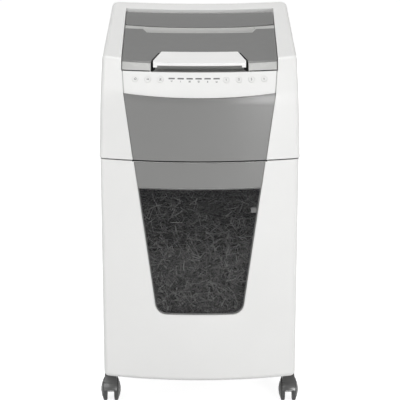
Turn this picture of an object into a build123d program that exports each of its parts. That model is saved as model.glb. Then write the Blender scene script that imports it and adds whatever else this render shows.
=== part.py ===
"""Office paper shredder with a stack tray under a hinged lid and a pull-out bin drawer.

Millimetres, +Z up, front towards -Y, origin on the floor under the middle of the machine.
"""
from build123d import *
import math
import os

os.makedirs("parts", exist_ok=True)

# Envelope
CABINET_WIDTH = 402.0
BODY_DEPTH = 490.0
CASTER_HEIGHT = 77.0
CABINET_HEIGHT = 478.0
HEAD_HEIGHT = 236.0
HEAD_OVERHANG = 2.0
WALL = 3.0
BOW_RADIUS = 756.0
FRONT_CORNER_RADIUS = 12.0
REAR_CORNER_RADIUS = 18.0
SIDE_DRAFT = 2.0

# Head: sloping dished roof, leaning control band, parting line
ROOF_SLOPE = 5.0
ROOF_DISH_RADIUS = 3530.0
ROOF_EDGE_RADIUS = 10.0
BAND_LEAN = 26.5
BAND_DROP = 102.7
BAND_BLEND_RADIUS = 80.0
HEAD_LIFT = 1.0
SHELL_DROP = 0.5
DRAWER_DROP = 1.5
HEAD_BASE_THICKNESS = 8.0
HEAD_BASE_CLEARANCE = 0.4
SEAT_RIM_WIDTH = 7.0
SEAT_RIM_HEIGHT = 12.0

# Tapering dark face that runs from the control band down to the window
FACE_BREAK_DROP = 100.0
FACE_SIDE_INSET = 51.7
FACE_TAPER = 0.1335
FACE_GAP = 0.8
FACE_SINK = 0.5
FASCIA_SAG = 7.0
PANEL_DROP = 59.0
PANEL_SINK = 3.2
PANEL_THICKNESS = 3.0
UNDERLAP = 6.0
SEAT_GAP = 0.2

# Lid in the roof
LID_SINK = 5.0
LID_COVER_THICKNESS = 2.6
LID_FRAME_THICKNESS = 4.4
LID_REAR_SIDE_INSET = 42.0
LID_FRONT_SIDE_INSET = 47.5
LID_REAR_INSET = 81.0
LID_FRONT_INSET = 48.5
LID_GAP = 1.2
LID_REAR_CLEARANCE = 12.5
LINER_THICKNESS = 2.5
LINER_DEPTH = 50.0
LIP_ANGLE = 35.0
LIP_THICKNESS = 3.5
LIP_DROP = 57.0
LIP_TOP_BOW = 5.0
LID_HINGE_INSET = 89.0
LID_HINGE_DEPTH = 18.0
LID_BARREL_RADIUS = 4.6
LID_BARREL_INNER = 112.0
LID_BARREL_OUTER = 130.0
LID_POST_WIDTH = 6.0
LID_PIN_RADIUS = 2.5
RUNNING_FIT = 0.05
PRESS_FIT = 0.01
SIDE_PLAY = 1.0

# Manual feed slot through the lid
SLOT_Y = 24.0
SLOT_HALF_LENGTH = 119.0
SLOT_FRONT_REACH = 12.0
SLOT_REAR_REACH = 27.0
SLOT_CORNER_INSET = 10.0
SLOT_CORNER_DEPTH = 26.0
SLIT_HALF_LENGTH = 112.0
SLIT_WIDTH = 8.0
SLOT_DEPTH = 24.0
SLOT_WALL = 2.0
COVER_STRIP_FRONT = 13.0
COVER_STRIP_REAR = 33.0
COVER_STRIP_BOW = 1035.0

# Lifting handle on the lid
HANDLE_REAR_INSET = 111.0
HANDLE_SHOULDER_INSET = 48.0
HANDLE_FRONT_INSET = 36.0
HANDLE_REAR_HALF = 77.3
HANDLE_SHOULDER_HALF = 93.0
HANDLE_FRONT_HALF = 92.5
HANDLE_RISE = 3.0
HANDLE_THICKNESS = 2.5
HANDLE_LIP_DEPTH = 6.0
HANDLE_LIP_THICKNESS = 5.0
HANDLE_LUG_X = 55.0
HANDLE_LUG_WIDTH = 8.0
HANDLE_LUG_SETBACK = 4.0
HANDLE_LUG_LENGTH = 4.0
HANDLE_AXIS_BEHIND = 3.0
HANDLE_AXIS_DEPTH = 15.0
HANDLE_PIN_RADIUS = 1.8
HANDLE_EAR_WIDTH = 3.0
HANDLE_EAR_RADIUS = 3.6
HANDLE_FOOT_WIDTH = 8.0
HANDLE_FOOT_DROP = 4.0
HANDLE_MARGIN = 4.0
HANDLE_GROOVE = 6.0
FINGER_DEPTH = 27.0
FINGER_DROP = 3.5
FINGER_WALL = 2.5

# Stack tray and deck under the lid
DECK_DEPTH = 28.0
DECK_THICKNESS = 2.5
DECK_FRONT_INSET = 65.0
DECK_CLEARANCE = 1.0
TRAY_HALF = 116.0
TRAY_FRONT_INSET = 107.5
TRAY_REAR_INSET = 79.5
TRAY_WALL = 2.5
TRAY_FLOOR_ABOVE_CUTTERS = 60.0
TRAY_FLOOR_THICKNESS = 3.0
TRAY_SLIT_HALF = 12.0

# Cutters and their frame
CUTTER_DROP = 151.0
CUTTER_SPACING = 34.0
CUTTER_RADIUS = 20.0
CUTTER_CORE_RADIUS = 13.6
CUTTER_SHAFT_RADIUS = 8.0
DISC_PITCH = 8.0
DISC_THICKNESS = 3.6
DISC_COUNT = 30
FLUTE_COUNT = 6
FLUTE_WIDTH = 2.5
FLUTE_DEPTH = 3.0
PLATE_INNER_X = 126.0
PLATE_THICKNESS = 4.0
PLATE_FOOT = 14.0
PLATE_FRONT_REACH = 70.0
PLATE_REAR_REACH = 74.0
MOTOR_MARGIN = 6.0
BEARING_WALL = 3.0
BEARING_FLANGE = 1.2
COMB_BAR_DEPTH = 6.0
COMB_BAR_HEIGHT = 10.0
COMB_FINGER_WIDTH = 2.4
COMB_FINGER_HEIGHT = 4.0
COMB_CLEARANCE = 0.8
TIE_ROD_RADIUS = 4.0
ROD_MOTOR_GAP = 8.0
ROD_BEARING = 212.0
SHRED_OPENING_HALF_DEPTH = 44.0

# Stack feed rollers
ROLLER_REACH = 48.0
ROLLER_RISE = 48.0
ROLLER_SHAFT_RADIUS = 4.0
TYRE_RADIUS = 14.0
TYRE_WIDTH = 20.0
TYRE_PITCH = 44.0
TYRE_COUNT = 5
TYRE_WINDOW_MARGIN = 2.0

# Gears
PRESSURE_ANGLE = 20.0
ADDENDUM = 0.8
DEDENDUM = 1.1
BACKLASH = 0.22
SYNC_MODULE = 2.0
SYNC_TEETH = 17
FEED_TEETH = 14
FINAL_MODULE = 1.5
MOTOR_MODULE = 1.0
WHEEL_TEETH = 48
PINION_TEETH = 12
GEAR_STANDOFF = 5.0
SYNC_WIDTH = 8.0
MOTOR_STAGE_WIDTH = 6.0
FINAL_STAGE_WIDTH = 10.0
STAGE_GAP = 2.0
STUB_AXLE_RADIUS = 4.0
SHAFT_END = 2.0
REDUCTION_ANGLE = -8.0
MOTOR_ANGLE = -10.0
MOTOR_RADIUS = 38.0
MOTOR_LENGTH = 110.0
MOTOR_SHAFT_RADIUS = 3.0
MOTOR_SHAFT_DEPTH = 15.0
MOTOR_BOSS_RADIUS = 9.0

# Keys and lamps on the control band
KEY_OUTER_SHARE = 0.85
KEY_PITCH_SHARE = 0.1666
KEY_DROP = 72.3
KEY_RADIUS = 6.3
KEY_CLEARANCE = 0.3
KEY_PROUD = 0.4
KEY_FLANGE = 1.4
KEY_FLANGE_THICKNESS = 1.2
KEY_STROKE = 0.7
KEY_STEM_RADIUS = 2.0
KEY_STEM_LENGTH = 1.6
LAMP_FIRST_SHARE = -0.3668
LAMP_PITCH_SHARE = 0.118
LAMP_COUNT = 6
LAMP_DROP = 70.0
LAMP_LENGTH = 12.4
LAMP_WIDTH = 2.8
LAMP_CLEARANCE = 0.1
LAMP_PROUD = 0.15
BOARD_DEPTH = 14.0
BOARD_THICKNESS = 1.6
BOARD_SIDE_GAP = 4.3
BOARD_BOTTOM_DROP = 89.0
BOARD_TOP_DROP = 68.0
BOARD_POST_RADIUS = 2.5
TACT_RADIUS = 3.2

# Cabinet, drawer and bin
BASE_THICKNESS = 12.0
DRAWER_WRAP = 47.0
DRAWER_SIDE_GAP = 1.0
DRAWER_BOTTOM_RADIUS = 11.0
DRAWER_FLANGE = 14.0
DRAWER_BASE_GAP = 2.0
FRAME_THICKNESS = 2.6
FRAME_OVERLAP = 8.0
FRAME_LEDGE = 3.0
WINDOW_TOP = 57.0
WINDOW_BOTTOM = 329.0
WINDOW_CORNER_RADIUS = 25.0
WINDOW_SINK = 0.8
RUNNER_HEIGHT = 221.0
RUNNER_SHELF = 15.0
RUNNER_SHEET = 3.0
RUNNER_WEB_HEIGHT = 26.0
RUNNER_FRONT_GAP = 2.0
RUNNER_REAR_GAP = 18.0
TUB_SIDE_GAP = 23.0
TUB_WALL = 2.5
TUB_TOP_GAP = 8.0
TUB_BOTTOM_GAP = 2.5
TUB_REAR_GAP = 30.0
TUB_CORNER_RADIUS = 20.0
TUB_FLANGE_THICKNESS = 4.0
TUB_FLANGE_PLAY = 1.5
SLIDE_GAP = 0.3
HEAP_TOP_GAP = 145.0
HEAP_DOME_RADIUS = 900.0
HEAP_CLEARANCE = 0.5
HEAP_CRUST = 12.0
SENSOR_HEIGHT = 105.0
SENSOR_SIZE = 11.0
SENSOR_DEPTH = 7.0

# Small parts inside the head and at the back
INLET_SIDE_INSET = 65.0
INLET_HEIGHT = 36.0
INLET_WIDTH = 60.0
INLET_TALL = 27.0
INLET_DEPTH = 26.0
INLET_RECESS = 1.0
SOCKET_WIDTH = 22.0
SOCKET_TALL = 16.0
SOCKET_DEPTH = 14.0
SOCKET_OFFSET = 14.0
SOCKET_PIN_WIDTH = 2.0
SOCKET_PIN_TALL = 4.0
ROCKER_WIDTH = 14.0
ROCKER_TALL = 20.0
ROCKER_DEPTH = 8.0
ROCKER_OFFSET = -14.0
ROCKER_RECESS = 2.0
ROCKER_PLAY = 1.6
ROCKER_PIN_RADIUS = 1.5
ROCKER_TILT = 7.0
VENT_COUNT = 12
VENT_PITCH = 8.0
VENT_WIDTH = 3.6
VENT_TALL = 44.0
VENT_HEIGHT = 74.0
VENT_SIDE_INSET = 70.0
POWER_BOARD_SIDE_INSET = 106.0
POWER_BOARD_REAR_INSET = 95.0
POWER_BOARD_WIDTH = 110.0
POWER_BOARD_DEPTH = 90.0
POWER_BOARD_POST = 6.0
POWER_POST_INSET = 9.0
TRANSFORMER_SIZE = 30.0
TRANSFORMER_INSET = 15.0
CAPACITOR_RADIUS = 10.0
CAPACITOR_INSET = 30.0
LOCK_FRONT_INSET = 74.0
LOCK_WIDTH = 30.0
LOCK_DEPTH = 24.0
LOCK_TALL = 26.0
STRIKER_WIDTH = 16.0
STRIKER_THICKNESS = 2.0
STRIKER_ENTRY = 9.0
STRIKER_PLAY = 3.0
SWITCH_SIDE_INSET = 33.0
SWITCH_INSET = 9.5
SWITCH_WIDTH = 16.0
SWITCH_DEPTH = 9.0
SWITCH_TALL = 12.0
SWITCH_PLUNGER_RADIUS = 1.5
SWITCH_PLUNGER_GAP = 0.7
SCREW_RADIUS = 3.5
SCREW_LENGTH = 9.0
SCREW_SHANK_RADIUS = 1.8
SCREW_EDGE = 40.0

# Swivel casters
CASTER_SIDE_INSET = 10.6
CASTER_FRONT_INSET = 101.0
CASTER_REAR_INSET = 50.0
CASTER_TRAIL = 17.0
CASTER_HALF_WIDTH = 19.8
WHEEL_RADIUS = 25.0
WHEEL_DOME = 5.0
WHEEL_EDGE_RADIUS = 2.5
WEB_HALF_WIDTH = 6.5
WHEEL_PLAY = 1.2
HOOD_GAP = 1.5
HOOD_THICKNESS = 2.5
HOOD_HALF_WIDTH = 14.0
HOOD_CROWN = 1.5
HOOD_BOTTOM = 20.0
HOOD_BROW = 33.0
HOOD_BOSS = 7.0
HOOD_SHOULDER = 46.0
HOOD_SHOULDER_ANGLE = 130.0
NECK_RADIUS = 10.5
NECK_GAP = 0.4
STEM_RADIUS = 5.5
STEM_TOP_GAP = 2.0
AXLE_RADIUS = 3.0

# Reference planes worked out from the sizes above
HALF_WIDTH = CABINET_WIDTH / 2
HEAD_HALF = HALF_WIDTH + HEAD_OVERHANG
FRONT_Y = -BODY_DEPTH / 2
REAR_Y = BODY_DEPTH / 2
BOW_AXIS_Y = FRONT_Y + BOW_RADIUS
BASE_Z = CASTER_HEIGHT
PARTING_Z = BASE_Z + CABINET_HEIGHT
HEAD_Z = PARTING_Z + HEAD_LIFT
ROOF_Z = PARTING_Z + HEAD_HEIGHT
FAR = 2 * (BODY_DEPTH + CABINET_WIDTH)
SPLIT_Y = FRONT_Y + DRAWER_WRAP
BASE_TOP = BASE_Z + BASE_THICKNESS
HEAD_BASE_TOP = HEAD_Z + HEAD_BASE_THICKNESS
BREAK_Z = ROOF_Z - FACE_BREAK_DROP
DRAWER_TOP = PARTING_Z - DRAWER_DROP
CUTTER_Z = ROOF_Z - CUTTER_DROP
TRAY_Z = CUTTER_Z + TRAY_FLOOR_ABOVE_CUTTERS
LID_FRONT_Y = FRONT_Y + LID_FRONT_INSET
LID_REAR_Y = REAR_Y - LID_REAR_INSET
LIP_FOOT_Z = ROOF_Z - LIP_DROP
PLATE_OUTER_X = PLATE_INNER_X + PLATE_THICKNESS
FACE_HALF_AT_BREAK = HEAD_HALF - FACE_SIDE_INSET
LID_REAR_HALF = HEAD_HALF - LID_REAR_SIDE_INSET
LID_FRONT_HALF = HEAD_HALF - LID_FRONT_SIDE_INSET
TUB_HALF = HALF_WIDTH - TUB_SIDE_GAP

pieces = {}


def block(x0, x1, y0, y1, z0, z1):
    """Rectangular block between two opposite corners."""
    centre = Pos((x0 + x1) / 2, (y0 + y1) / 2, (z0 + z1) / 2)
    return centre * Box(x1 - x0, y1 - y0, z1 - z0)


def rod_x(radius, x0, x1, y, z):
    """Round bar lying along X."""
    return Pos((x0 + x1) / 2, y, z) * Rot(0, 90, 0) * Cylinder(radius, x1 - x0)


def rod_z(radius, x, y, z0, z1):
    """Round upright bar."""
    return Pos(x, y, (z0 + z1) / 2) * Cylinder(radius, z1 - z0)


def outline(*points):
    """Flat face inside a closed run of straight edges."""
    return make_face(Polyline(*points, close=True))


def plan_prism(face, z0, z1):
    """Plan-view face raised from z0 to z1."""
    return Pos(0, 0, z0) * extrude(face, z1 - z0)


def front_prism(face, y0, y1):
    """Front-view face, drawn in X and Z, carried from y0 to y1."""
    plane = Plane(origin=(0, y1, 0), x_dir=(1, 0, 0), z_dir=(0, -1, 0))
    return extrude(plane * face, y1 - y0)


def side_prism(face, x0, x1):
    """Side-view face, drawn in Y and Z, carried from x0 to x1."""
    plane = Plane(origin=(x0, 0, 0), x_dir=(0, 1, 0), z_dir=(1, 0, 0))
    return extrude(plane * face, x1 - x0)


def bow_y(x, offset=0.0):
    """Depth of the bowed front at a distance x from the middle."""
    return BOW_AXIS_Y - math.sqrt((BOW_RADIUS - offset) ** 2 - x * x)


def bow_ring(outer, inner, z0, z1):
    """Upright curved sheet between two offsets behind the bowed front."""
    height = z1 - z0
    ring = Cylinder(BOW_RADIUS - outer, height) - Cylinder(BOW_RADIUS - inner, height)
    return Pos(0, BOW_AXIS_Y, (z0 + z1) / 2) * ring


def bowed_plan(half, offset, y_back, corner):
    """Plan with a bowed front edge, straight sides and rounded front corners."""
    y_side = bow_y(half, offset)
    front = ThreePointArc((-half, y_side), (0, FRONT_Y + offset), (half, y_side))
    sides = Polyline((half, y_side), (half, y_back), (-half, y_back), (-half, y_side))
    face = make_face(front + sides)
    corners = face.vertices().group_by(Axis.Y)[0]
    return fillet(corners, corner)


def band_corner(inset):
    """Height where the upright front and the leaning band would meet, below a given depth."""
    return ROOF_Z - BAND_DROP - inset * math.tan(math.radians(BAND_LEAN / 2))


def band_radius(z, inset):
    """Distance from the bow axis to the leaning band at height z."""
    return BOW_RADIUS - inset - (z - band_corner(inset)) * math.tan(math.radians(BAND_LEAN))


def front_form(inset, z0):
    """Everything behind the head's front surface, moved in by inset."""
    top = ROOF_Z + HEAD_HEIGHT
    radius = BOW_RADIUS - inset
    corner = (radius, band_corner(inset))
    face = outline((0, z0), (radius, z0), corner, (band_radius(top, inset), top), (0, top))
    face = fillet(face.vertices().sort_by_distance((*corner, 0))[0], BAND_BLEND_RADIUS - inset)
    plane = Plane(origin=(0, BOW_AXIS_Y, 0), x_dir=(0, 1, 0), z_dir=(1, 0, 0))
    return revolve(plane * face, Axis((0, BOW_AXIS_Y, 0), (0, 0, 1)))


def front_layer(outer, inner):
    """Curved sheet between two depths behind the head's front surface."""
    low = PARTING_Z - WALL
    return front_form(outer, low) - front_form(inner, low)


def roof_middle(y):
    """Height of the roof along the middle of the machine."""
    return ROOF_Z + (y - REAR_Y) * math.tan(math.radians(ROOF_SLOPE))


def above_roof(depth):
    """Everything above the dished roof surface sunk by depth."""
    slope = math.radians(ROOF_SLOPE)
    up = Vector(0, -math.sin(slope), math.cos(slope))
    origin = Vector(0, 0, roof_middle(0)) + up * ROOF_DISH_RADIUS
    plane = Plane(origin=origin, x_dir=(1, 0, 0), z_dir=(0, math.cos(slope), math.sin(slope)))
    return plane * Cylinder(ROOF_DISH_RADIUS + depth, FAR)


def roof_layer(body, top, bottom):
    """The part of a body between two depths under the roof surface."""
    return (body - above_roof(top)) & above_roof(bottom)


def head_form(inset, z0):
    """Outer form of the head moved in by inset, with rounded corners and roof edge."""
    lean = math.tan(math.radians(SIDE_DRAFT))
    top = ROOF_Z + HEAD_HEIGHT / 4
    low_half = HEAD_HALF - inset - (z0 - HEAD_Z) * lean
    top_half = HEAD_HALF - inset - (top - HEAD_Z) * lean
    across = outline((-low_half, z0), (low_half, z0), (top_half, top), (-top_half, top))
    low_rear = REAR_Y - inset - (z0 - HEAD_Z) * lean
    top_rear = REAR_Y - inset - (top - HEAD_Z) * lean
    along = outline((-FAR, z0), (low_rear, z0), (top_rear, top), (-FAR, top))
    body = front_form(inset, z0) & front_prism(across, -FAR, FAR)
    body = (body & side_prism(along, -FAR, FAR)) - above_roof(inset)

    def uprights(solid, rear):
        found = [e for e in solid.edges() if abs(e.tangent_at(0.5).Z) > 0.5]
        found = [e for e in found if abs(e.center().X) > HEAD_HALF / 2]
        return [e for e in found if (e.center().Y > 0) == rear]

    body = fillet(uprights(body, True), REAR_CORNER_RADIUS - inset)
    body = fillet(uprights(body, False), FRONT_CORNER_RADIUS - inset)
    round_faces = body.faces().filter_by(GeomType.CYLINDER)
    roof = max(round_faces, key=lambda face: face.radius)
    return fillet(roof.outer_wire().edges(), ROOF_EDGE_RADIUS - inset)


def rear_wall_y(z):
    """Depth of the head's leaning rear wall at height z."""
    return REAR_Y - (z - HEAD_Z) * math.tan(math.radians(SIDE_DRAFT))


def face_half(z):
    """Half width of the tapering dark face at height z."""
    if z < BREAK_Z:
        return FACE_HALF_AT_BREAK - FACE_TAPER * (BREAK_Z - z)
    rise = (z - BREAK_Z) / (roof_middle(LID_FRONT_Y) - BREAK_Z)
    return FACE_HALF_AT_BREAK + (LID_FRONT_HALF - FACE_HALF_AT_BREAK) * rise


def face_outline(z0, z1, grow):
    """Tapering face between two heights, wider by grow on each side."""
    low = face_half(z0) + grow
    high = face_half(z1) + grow
    return outline((-low, z0), (low, z0), (high, z1), (-high, z1))


def lid_half(y):
    """Half width of the lid at depth y."""
    share = (LID_REAR_Y - y) / (LID_REAR_Y - LID_FRONT_Y)
    return LID_REAR_HALF + (LID_FRONT_HALF - LID_REAR_HALF) * share


def lid_prism(y0, y1, grow):
    """Upright prism over the lid's tapering plan from y0 to y1, wider by grow."""
    front = lid_half(y0) + grow
    rear = lid_half(y1) + grow
    face = outline((-front, y0), (front, y0), (rear, y1), (-rear, y1))
    return plan_prism(face, PARTING_Z, ROOF_Z + HEAD_HEIGHT)


def band_frame(x, z, inset):
    """Frame on the leaning band: Z outwards, X along the band, origin at depth inset."""
    radius = band_radius(z, inset)
    turn = math.asin(x / radius)
    lean = math.radians(BAND_LEAN)
    origin = (x, BOW_AXIS_Y - radius * math.cos(turn), z)
    outward = (math.sin(turn) * math.cos(lean), -math.cos(turn) * math.cos(lean), math.sin(lean))
    return Plane(origin=origin, x_dir=(math.cos(turn), math.sin(turn), 0), z_dir=outward)


def peg(radius, top, bottom):
    """Round peg between two heights above its frame's origin."""
    return Pos(0, 0, (top + bottom) / 2) * Cylinder(radius, top - bottom)


def gear(module, teeth, phase, x0, x1, y, z, bore):
    """Spur gear about an X axis with involute flanks and one tooth centred on phase."""
    pitch = module * teeth / 2
    pressure = math.radians(PRESSURE_ANGLE)
    base = pitch * math.cos(pressure)
    tip = pitch + ADDENDUM * module
    root = pitch - DEDENDUM * module
    half_tooth = math.pi / (2 * teeth) - BACKLASH / (2 * pitch)
    at_pitch = math.tan(pressure) - pressure
    steps = 4

    def half_angle(radius):
        roll = math.acos(min(1.0, base / radius))
        return half_tooth + at_pitch - (math.tan(roll) - roll)

    start = max(base, root)
    flank = [start + (tip - start) * step / steps for step in range(steps + 1)]
    points = []
    for tooth in range(teeth):
        centre = phase + 2 * math.pi * tooth / teeth
        rising = [(radius, centre - half_angle(radius)) for radius in flank]
        falling = [(radius, centre + half_angle(radius)) for radius in reversed(flank)]
        if start > root:
            foot = half_angle(start)
            rising.insert(0, (root, centre - foot))
            falling.append((root, centre + foot))
        points += rising + falling
    face = outline(*[(r * math.cos(a), r * math.sin(a)) for r, a in points])
    wheel = side_prism(face, x0, x1)
    return Pos(0, y, z) * wheel - rod_x(bore, x0, x1, y, z)


def mesh_phase(centre, phase, teeth, other, other_teeth):
    """Phase of the other gear so that its gap meets the first gear's tooth."""
    line = math.atan2(other[1] - centre[1], other[0] - centre[0])
    turned = (phase - line) * teeth / other_teeth
    return line + math.pi - turned + math.pi / other_teeth


def group(solids):
    """Separate solids kept together as one node."""
    return Compound(children=[solid for body in solids for solid in body.solids()])


# Head shell: sides, rear rim and rails in one moulding, open at the front and over the lid
lid_opening_rear = LID_REAR_Y + LID_REAR_CLEARANCE
opening_foot = face_half(HEAD_Z) + FACE_GAP
opening_break = FACE_HALF_AT_BREAK + FACE_GAP
opening_top = LID_FRONT_HALF + LID_GAP
opening_top_z = roof_middle(LID_FRONT_Y)
front_opening = outline(
    (-opening_foot, HEAD_Z - WALL), (opening_foot, HEAD_Z - WALL), (opening_break, BREAK_Z),
    (opening_top, opening_top_z), (opening_top, ROOF_Z + HEAD_HEIGHT),
    (-opening_top, ROOF_Z + HEAD_HEIGHT), (-opening_top, opening_top_z), (-opening_break, BREAK_Z),
)
liner = lid_prism(FRONT_Y, lid_opening_rear + LINER_THICKNESS, LID_GAP + LINER_THICKNESS)
liner = liner - block(-FAR, FAR, -FAR, FAR, 0, roof_middle(FRONT_Y) - LINER_DEPTH)
liner = (liner & front_form(PANEL_SINK + PANEL_THICKNESS + WALL, HEAD_Z)) - above_roof(WALL / 2)
head_shell = head_form(0, HEAD_Z) - head_form(WALL, HEAD_Z - 2 * WALL)
head_shell = head_shell + liner
lid_opening = lid_prism(-FAR, lid_opening_rear, LID_GAP)
lid_opening = lid_opening - block(-FAR, FAR, -FAR, FAR, 0, roof_middle(FRONT_Y) - LINER_DEPTH)
lid_opening = lid_opening - block(-FAR, FAR, -FAR, LID_FRONT_Y, 0, LIP_FOOT_Z - SIDE_PLAY)
head_shell = head_shell - lid_opening
head_shell = head_shell - front_prism(front_opening, -FAR, LID_FRONT_Y)

# Dark fascia between the parting line and the control band
fascia_top_middle = BREAK_Z - FASCIA_SAG


def fascia_outline(grow):
    """Fascia in front view: tapering sides and a sagging curved top edge."""
    low_z = HEAD_Z
    low = face_half(low_z) + grow
    high = FACE_HALF_AT_BREAK + grow
    sides = Polyline((-high, BREAK_Z), (-low, low_z), (low, low_z), (high, BREAK_Z))
    top = ThreePointArc((high, BREAK_Z), (0, fascia_top_middle), (-high, BREAK_Z))
    return make_face(sides + top)


def panel_outline(grow):
    """Control panel in front view: the fascia's curve below, a level edge above."""
    low_z = BREAK_Z + FACE_GAP
    low = FACE_HALF_AT_BREAK + grow
    top_z = ROOF_Z - PANEL_DROP
    high = face_half(top_z) + grow
    sides = Polyline((low, low_z), (high, top_z), (-high, top_z), (-low, low_z))
    bottom = ThreePointArc((-low, low_z), (0, low_z - FASCIA_SAG), (low, low_z))
    return make_face(sides + bottom)


fascia_face = front_layer(FACE_SINK, WALL) & front_prism(fascia_outline(0), FRONT_Y - WALL, LID_FRONT_Y)
fascia_back = front_layer(WALL + SEAT_GAP, 2 * WALL)
fascia_back = fascia_back & front_prism(fascia_outline(UNDERLAP), FRONT_Y, LID_FRONT_Y)
fascia_link = front_layer(FACE_SINK, 2 * WALL)
fascia_link = fascia_link & front_prism(fascia_outline(-FACE_GAP), FRONT_Y, LID_FRONT_Y)
pieces["front_fascia"] = fascia_face + fascia_link + fascia_back

# Keys, lamps and the board that carries their switches
key_z = ROOF_Z - KEY_DROP
key_outer = KEY_OUTER_SHARE * FACE_HALF_AT_BREAK
key_pitch = KEY_PITCH_SHARE * FACE_HALF_AT_BREAK
left_keys = [key_pitch * i - key_outer for i in range(3)]
right_keys = [key_outer - key_pitch * i for i in reversed(range(4))]
key_names = ["key_power", "key_mode", "key_reverse", "key_one", "key_two", "key_three", "key_four"]
key_places = dict(zip(key_names, left_keys + right_keys))
lamp_shares = [LAMP_FIRST_SHARE + LAMP_PITCH_SHARE * i for i in range(LAMP_COUNT)]
lamp_places = [share * FACE_HALF_AT_BREAK for share in lamp_shares]
lamp_z = ROOF_Z - LAMP_DROP

panel_depth = PANEL_SINK + PANEL_THICKNESS
control_panel = front_layer(PANEL_SINK, panel_depth)
control_panel = control_panel & front_prism(panel_outline(UNDERLAP), FRONT_Y, LID_FRONT_Y)
board_gap = BOARD_DEPTH - PANEL_SINK
for x in key_places.values():
    hole = peg(KEY_RADIUS + KEY_CLEARANCE, PANEL_THICKNESS, -2 * PANEL_THICKNESS)
    control_panel = control_panel - band_frame(x, key_z, PANEL_SINK) * hole
for x in lamp_places:
    slot = Box(LAMP_LENGTH + 2 * LAMP_CLEARANCE, LAMP_WIDTH + 2 * LAMP_CLEARANCE, 4 * PANEL_THICKNESS)
    control_panel = control_panel - band_frame(x, lamp_z, PANEL_SINK) * slot
for side in (-1, 1):
    for x in (key_outer - 1.5 * key_pitch, key_outer + key_pitch / 2):
        post = peg(BOARD_POST_RADIUS, -PANEL_THICKNESS / 2, -board_gap + SEAT_GAP)
        control_panel = control_panel + band_frame(side * x, key_z, PANEL_SINK) * post
pieces["control_panel"] = control_panel

control_board = front_layer(BOARD_DEPTH, BOARD_DEPTH + BOARD_THICKNESS)
board_half = FACE_HALF_AT_BREAK - BOARD_SIDE_GAP
board_low = ROOF_Z - BOARD_BOTTOM_DROP
board_high = ROOF_Z - BOARD_TOP_DROP
board_face = outline(
    (-board_half, board_low), (board_half, board_low), (board_half, board_high), (-board_half, board_high)
)
control_board = control_board & front_prism(board_face, FRONT_Y, LID_FRONT_Y)
key_bottom = PANEL_THICKNESS + SLIDE_GAP + KEY_FLANGE_THICKNESS + KEY_STEM_LENGTH
tact_top = key_bottom + KEY_STROKE + LAMP_CLEARANCE
for x in key_places.values():
    tact = peg(TACT_RADIUS, -tact_top, -board_gap - BOARD_THICKNESS / 2)
    control_board = control_board + band_frame(x, key_z, PANEL_SINK) * tact
pieces["control_board"] = control_board

for name, x in key_places.items():
    cap = peg(KEY_RADIUS, KEY_PROUD, -PANEL_THICKNESS - SLIDE_GAP - KEY_FLANGE_THICKNESS)
    flange_top = -PANEL_THICKNESS - SLIDE_GAP
    flange = peg(KEY_RADIUS + KEY_FLANGE, flange_top, flange_top - KEY_FLANGE_THICKNESS)
    stem = peg(KEY_STEM_RADIUS, -PANEL_THICKNESS, -key_bottom)
    pieces[name] = band_frame(x, key_z, PANEL_SINK) * (cap + flange + stem)

lens = Pos(0, 0, (LAMP_PROUD - PANEL_THICKNESS) / 2)
lens = lens * Box(LAMP_LENGTH, LAMP_WIDTH, PANEL_THICKNESS + LAMP_PROUD)
pieces["status_lenses"] = group([band_frame(x, lamp_z, PANEL_SINK) * lens for x in lamp_places])

# Lid frame: dished plate, slanting front lip, finger pocket, hinge barrels and handle ears
frame_top = LID_SINK + LID_COVER_THICKNESS
frame_bottom = frame_top + LID_FRAME_THICKNESS
lip_z = roof_middle(LID_FRONT_Y) - LID_SINK
lip_slope = math.tan(math.radians(LIP_ANGLE))
foot_bow = bow_y(LID_REAR_HALF) - FRONT_Y
handle_rear = FRONT_Y + HANDLE_REAR_INSET
handle_shoulder = FRONT_Y + HANDLE_SHOULDER_INSET
handle_front = FRONT_Y + HANDLE_FRONT_INSET


def lip_y(z):
    """Depth of the lip's slanting face at height z."""
    return LID_FRONT_Y + (z - lip_z) / lip_slope


def before_lip(depth):
    """Space in front of the lip's face and above its foot, moved back by depth.

    The face is ruled between its foot, bowed as the front is, and its flatter upper edge.
    """
    shift = depth / math.sin(math.radians(LIP_ANGLE))
    half = LID_REAR_HALF
    sections = []
    for z, bow in ((LIP_FOOT_Z, foot_bow), (2 * lip_z - LIP_FOOT_Z, 2 * LIP_TOP_BOW - foot_bow)):
        middle = lip_y(z) + shift
        end = middle + bow
        edge = ThreePointArc((half, end), (0, middle), (-half, end))
        front = FRONT_Y - WALL
        sides = Polyline((-half, end), (-half, front), (half, front), (half, end))
        sections.append(Pos(0, 0, z) * make_face(edge + sides))
    return loft(sections, ruled=True)


lid_all = lid_prism(FRONT_Y, LID_REAR_Y, 0)
lip_space = before_lip(0)
frame_plate = roof_layer(lid_all - lip_space, frame_top + SEAT_GAP / 2, frame_bottom)
lip_band = (lid_all & before_lip(LIP_THICKNESS)) - lip_space
lip_band = lip_band - above_roof(frame_top + SEAT_GAP / 2)
pocket_back = handle_front + FINGER_DEPTH
pocket_floor = LIP_FOOT_Z - FINGER_DROP


def handle_half(y):
    """Half width between the handle's slanting sides at depth y."""
    share = (handle_rear - y) / (handle_rear - handle_shoulder)
    return HANDLE_REAR_HALF + (HANDLE_SHOULDER_HALF - HANDLE_REAR_HALF) * share


def pocket_plan(grow):
    """Finger pocket in plan: the handle's front part with a margin, wider by grow."""
    half = HANDLE_SHOULDER_HALF + HANDLE_MARGIN + grow
    back = handle_half(pocket_back) + HANDLE_GROOVE + grow
    return outline(
        (-half, FRONT_Y), (half, FRONT_Y), (half, handle_shoulder), (back, pocket_back + grow),
        (-back, pocket_back + grow), (-half, handle_shoulder),
    )


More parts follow.
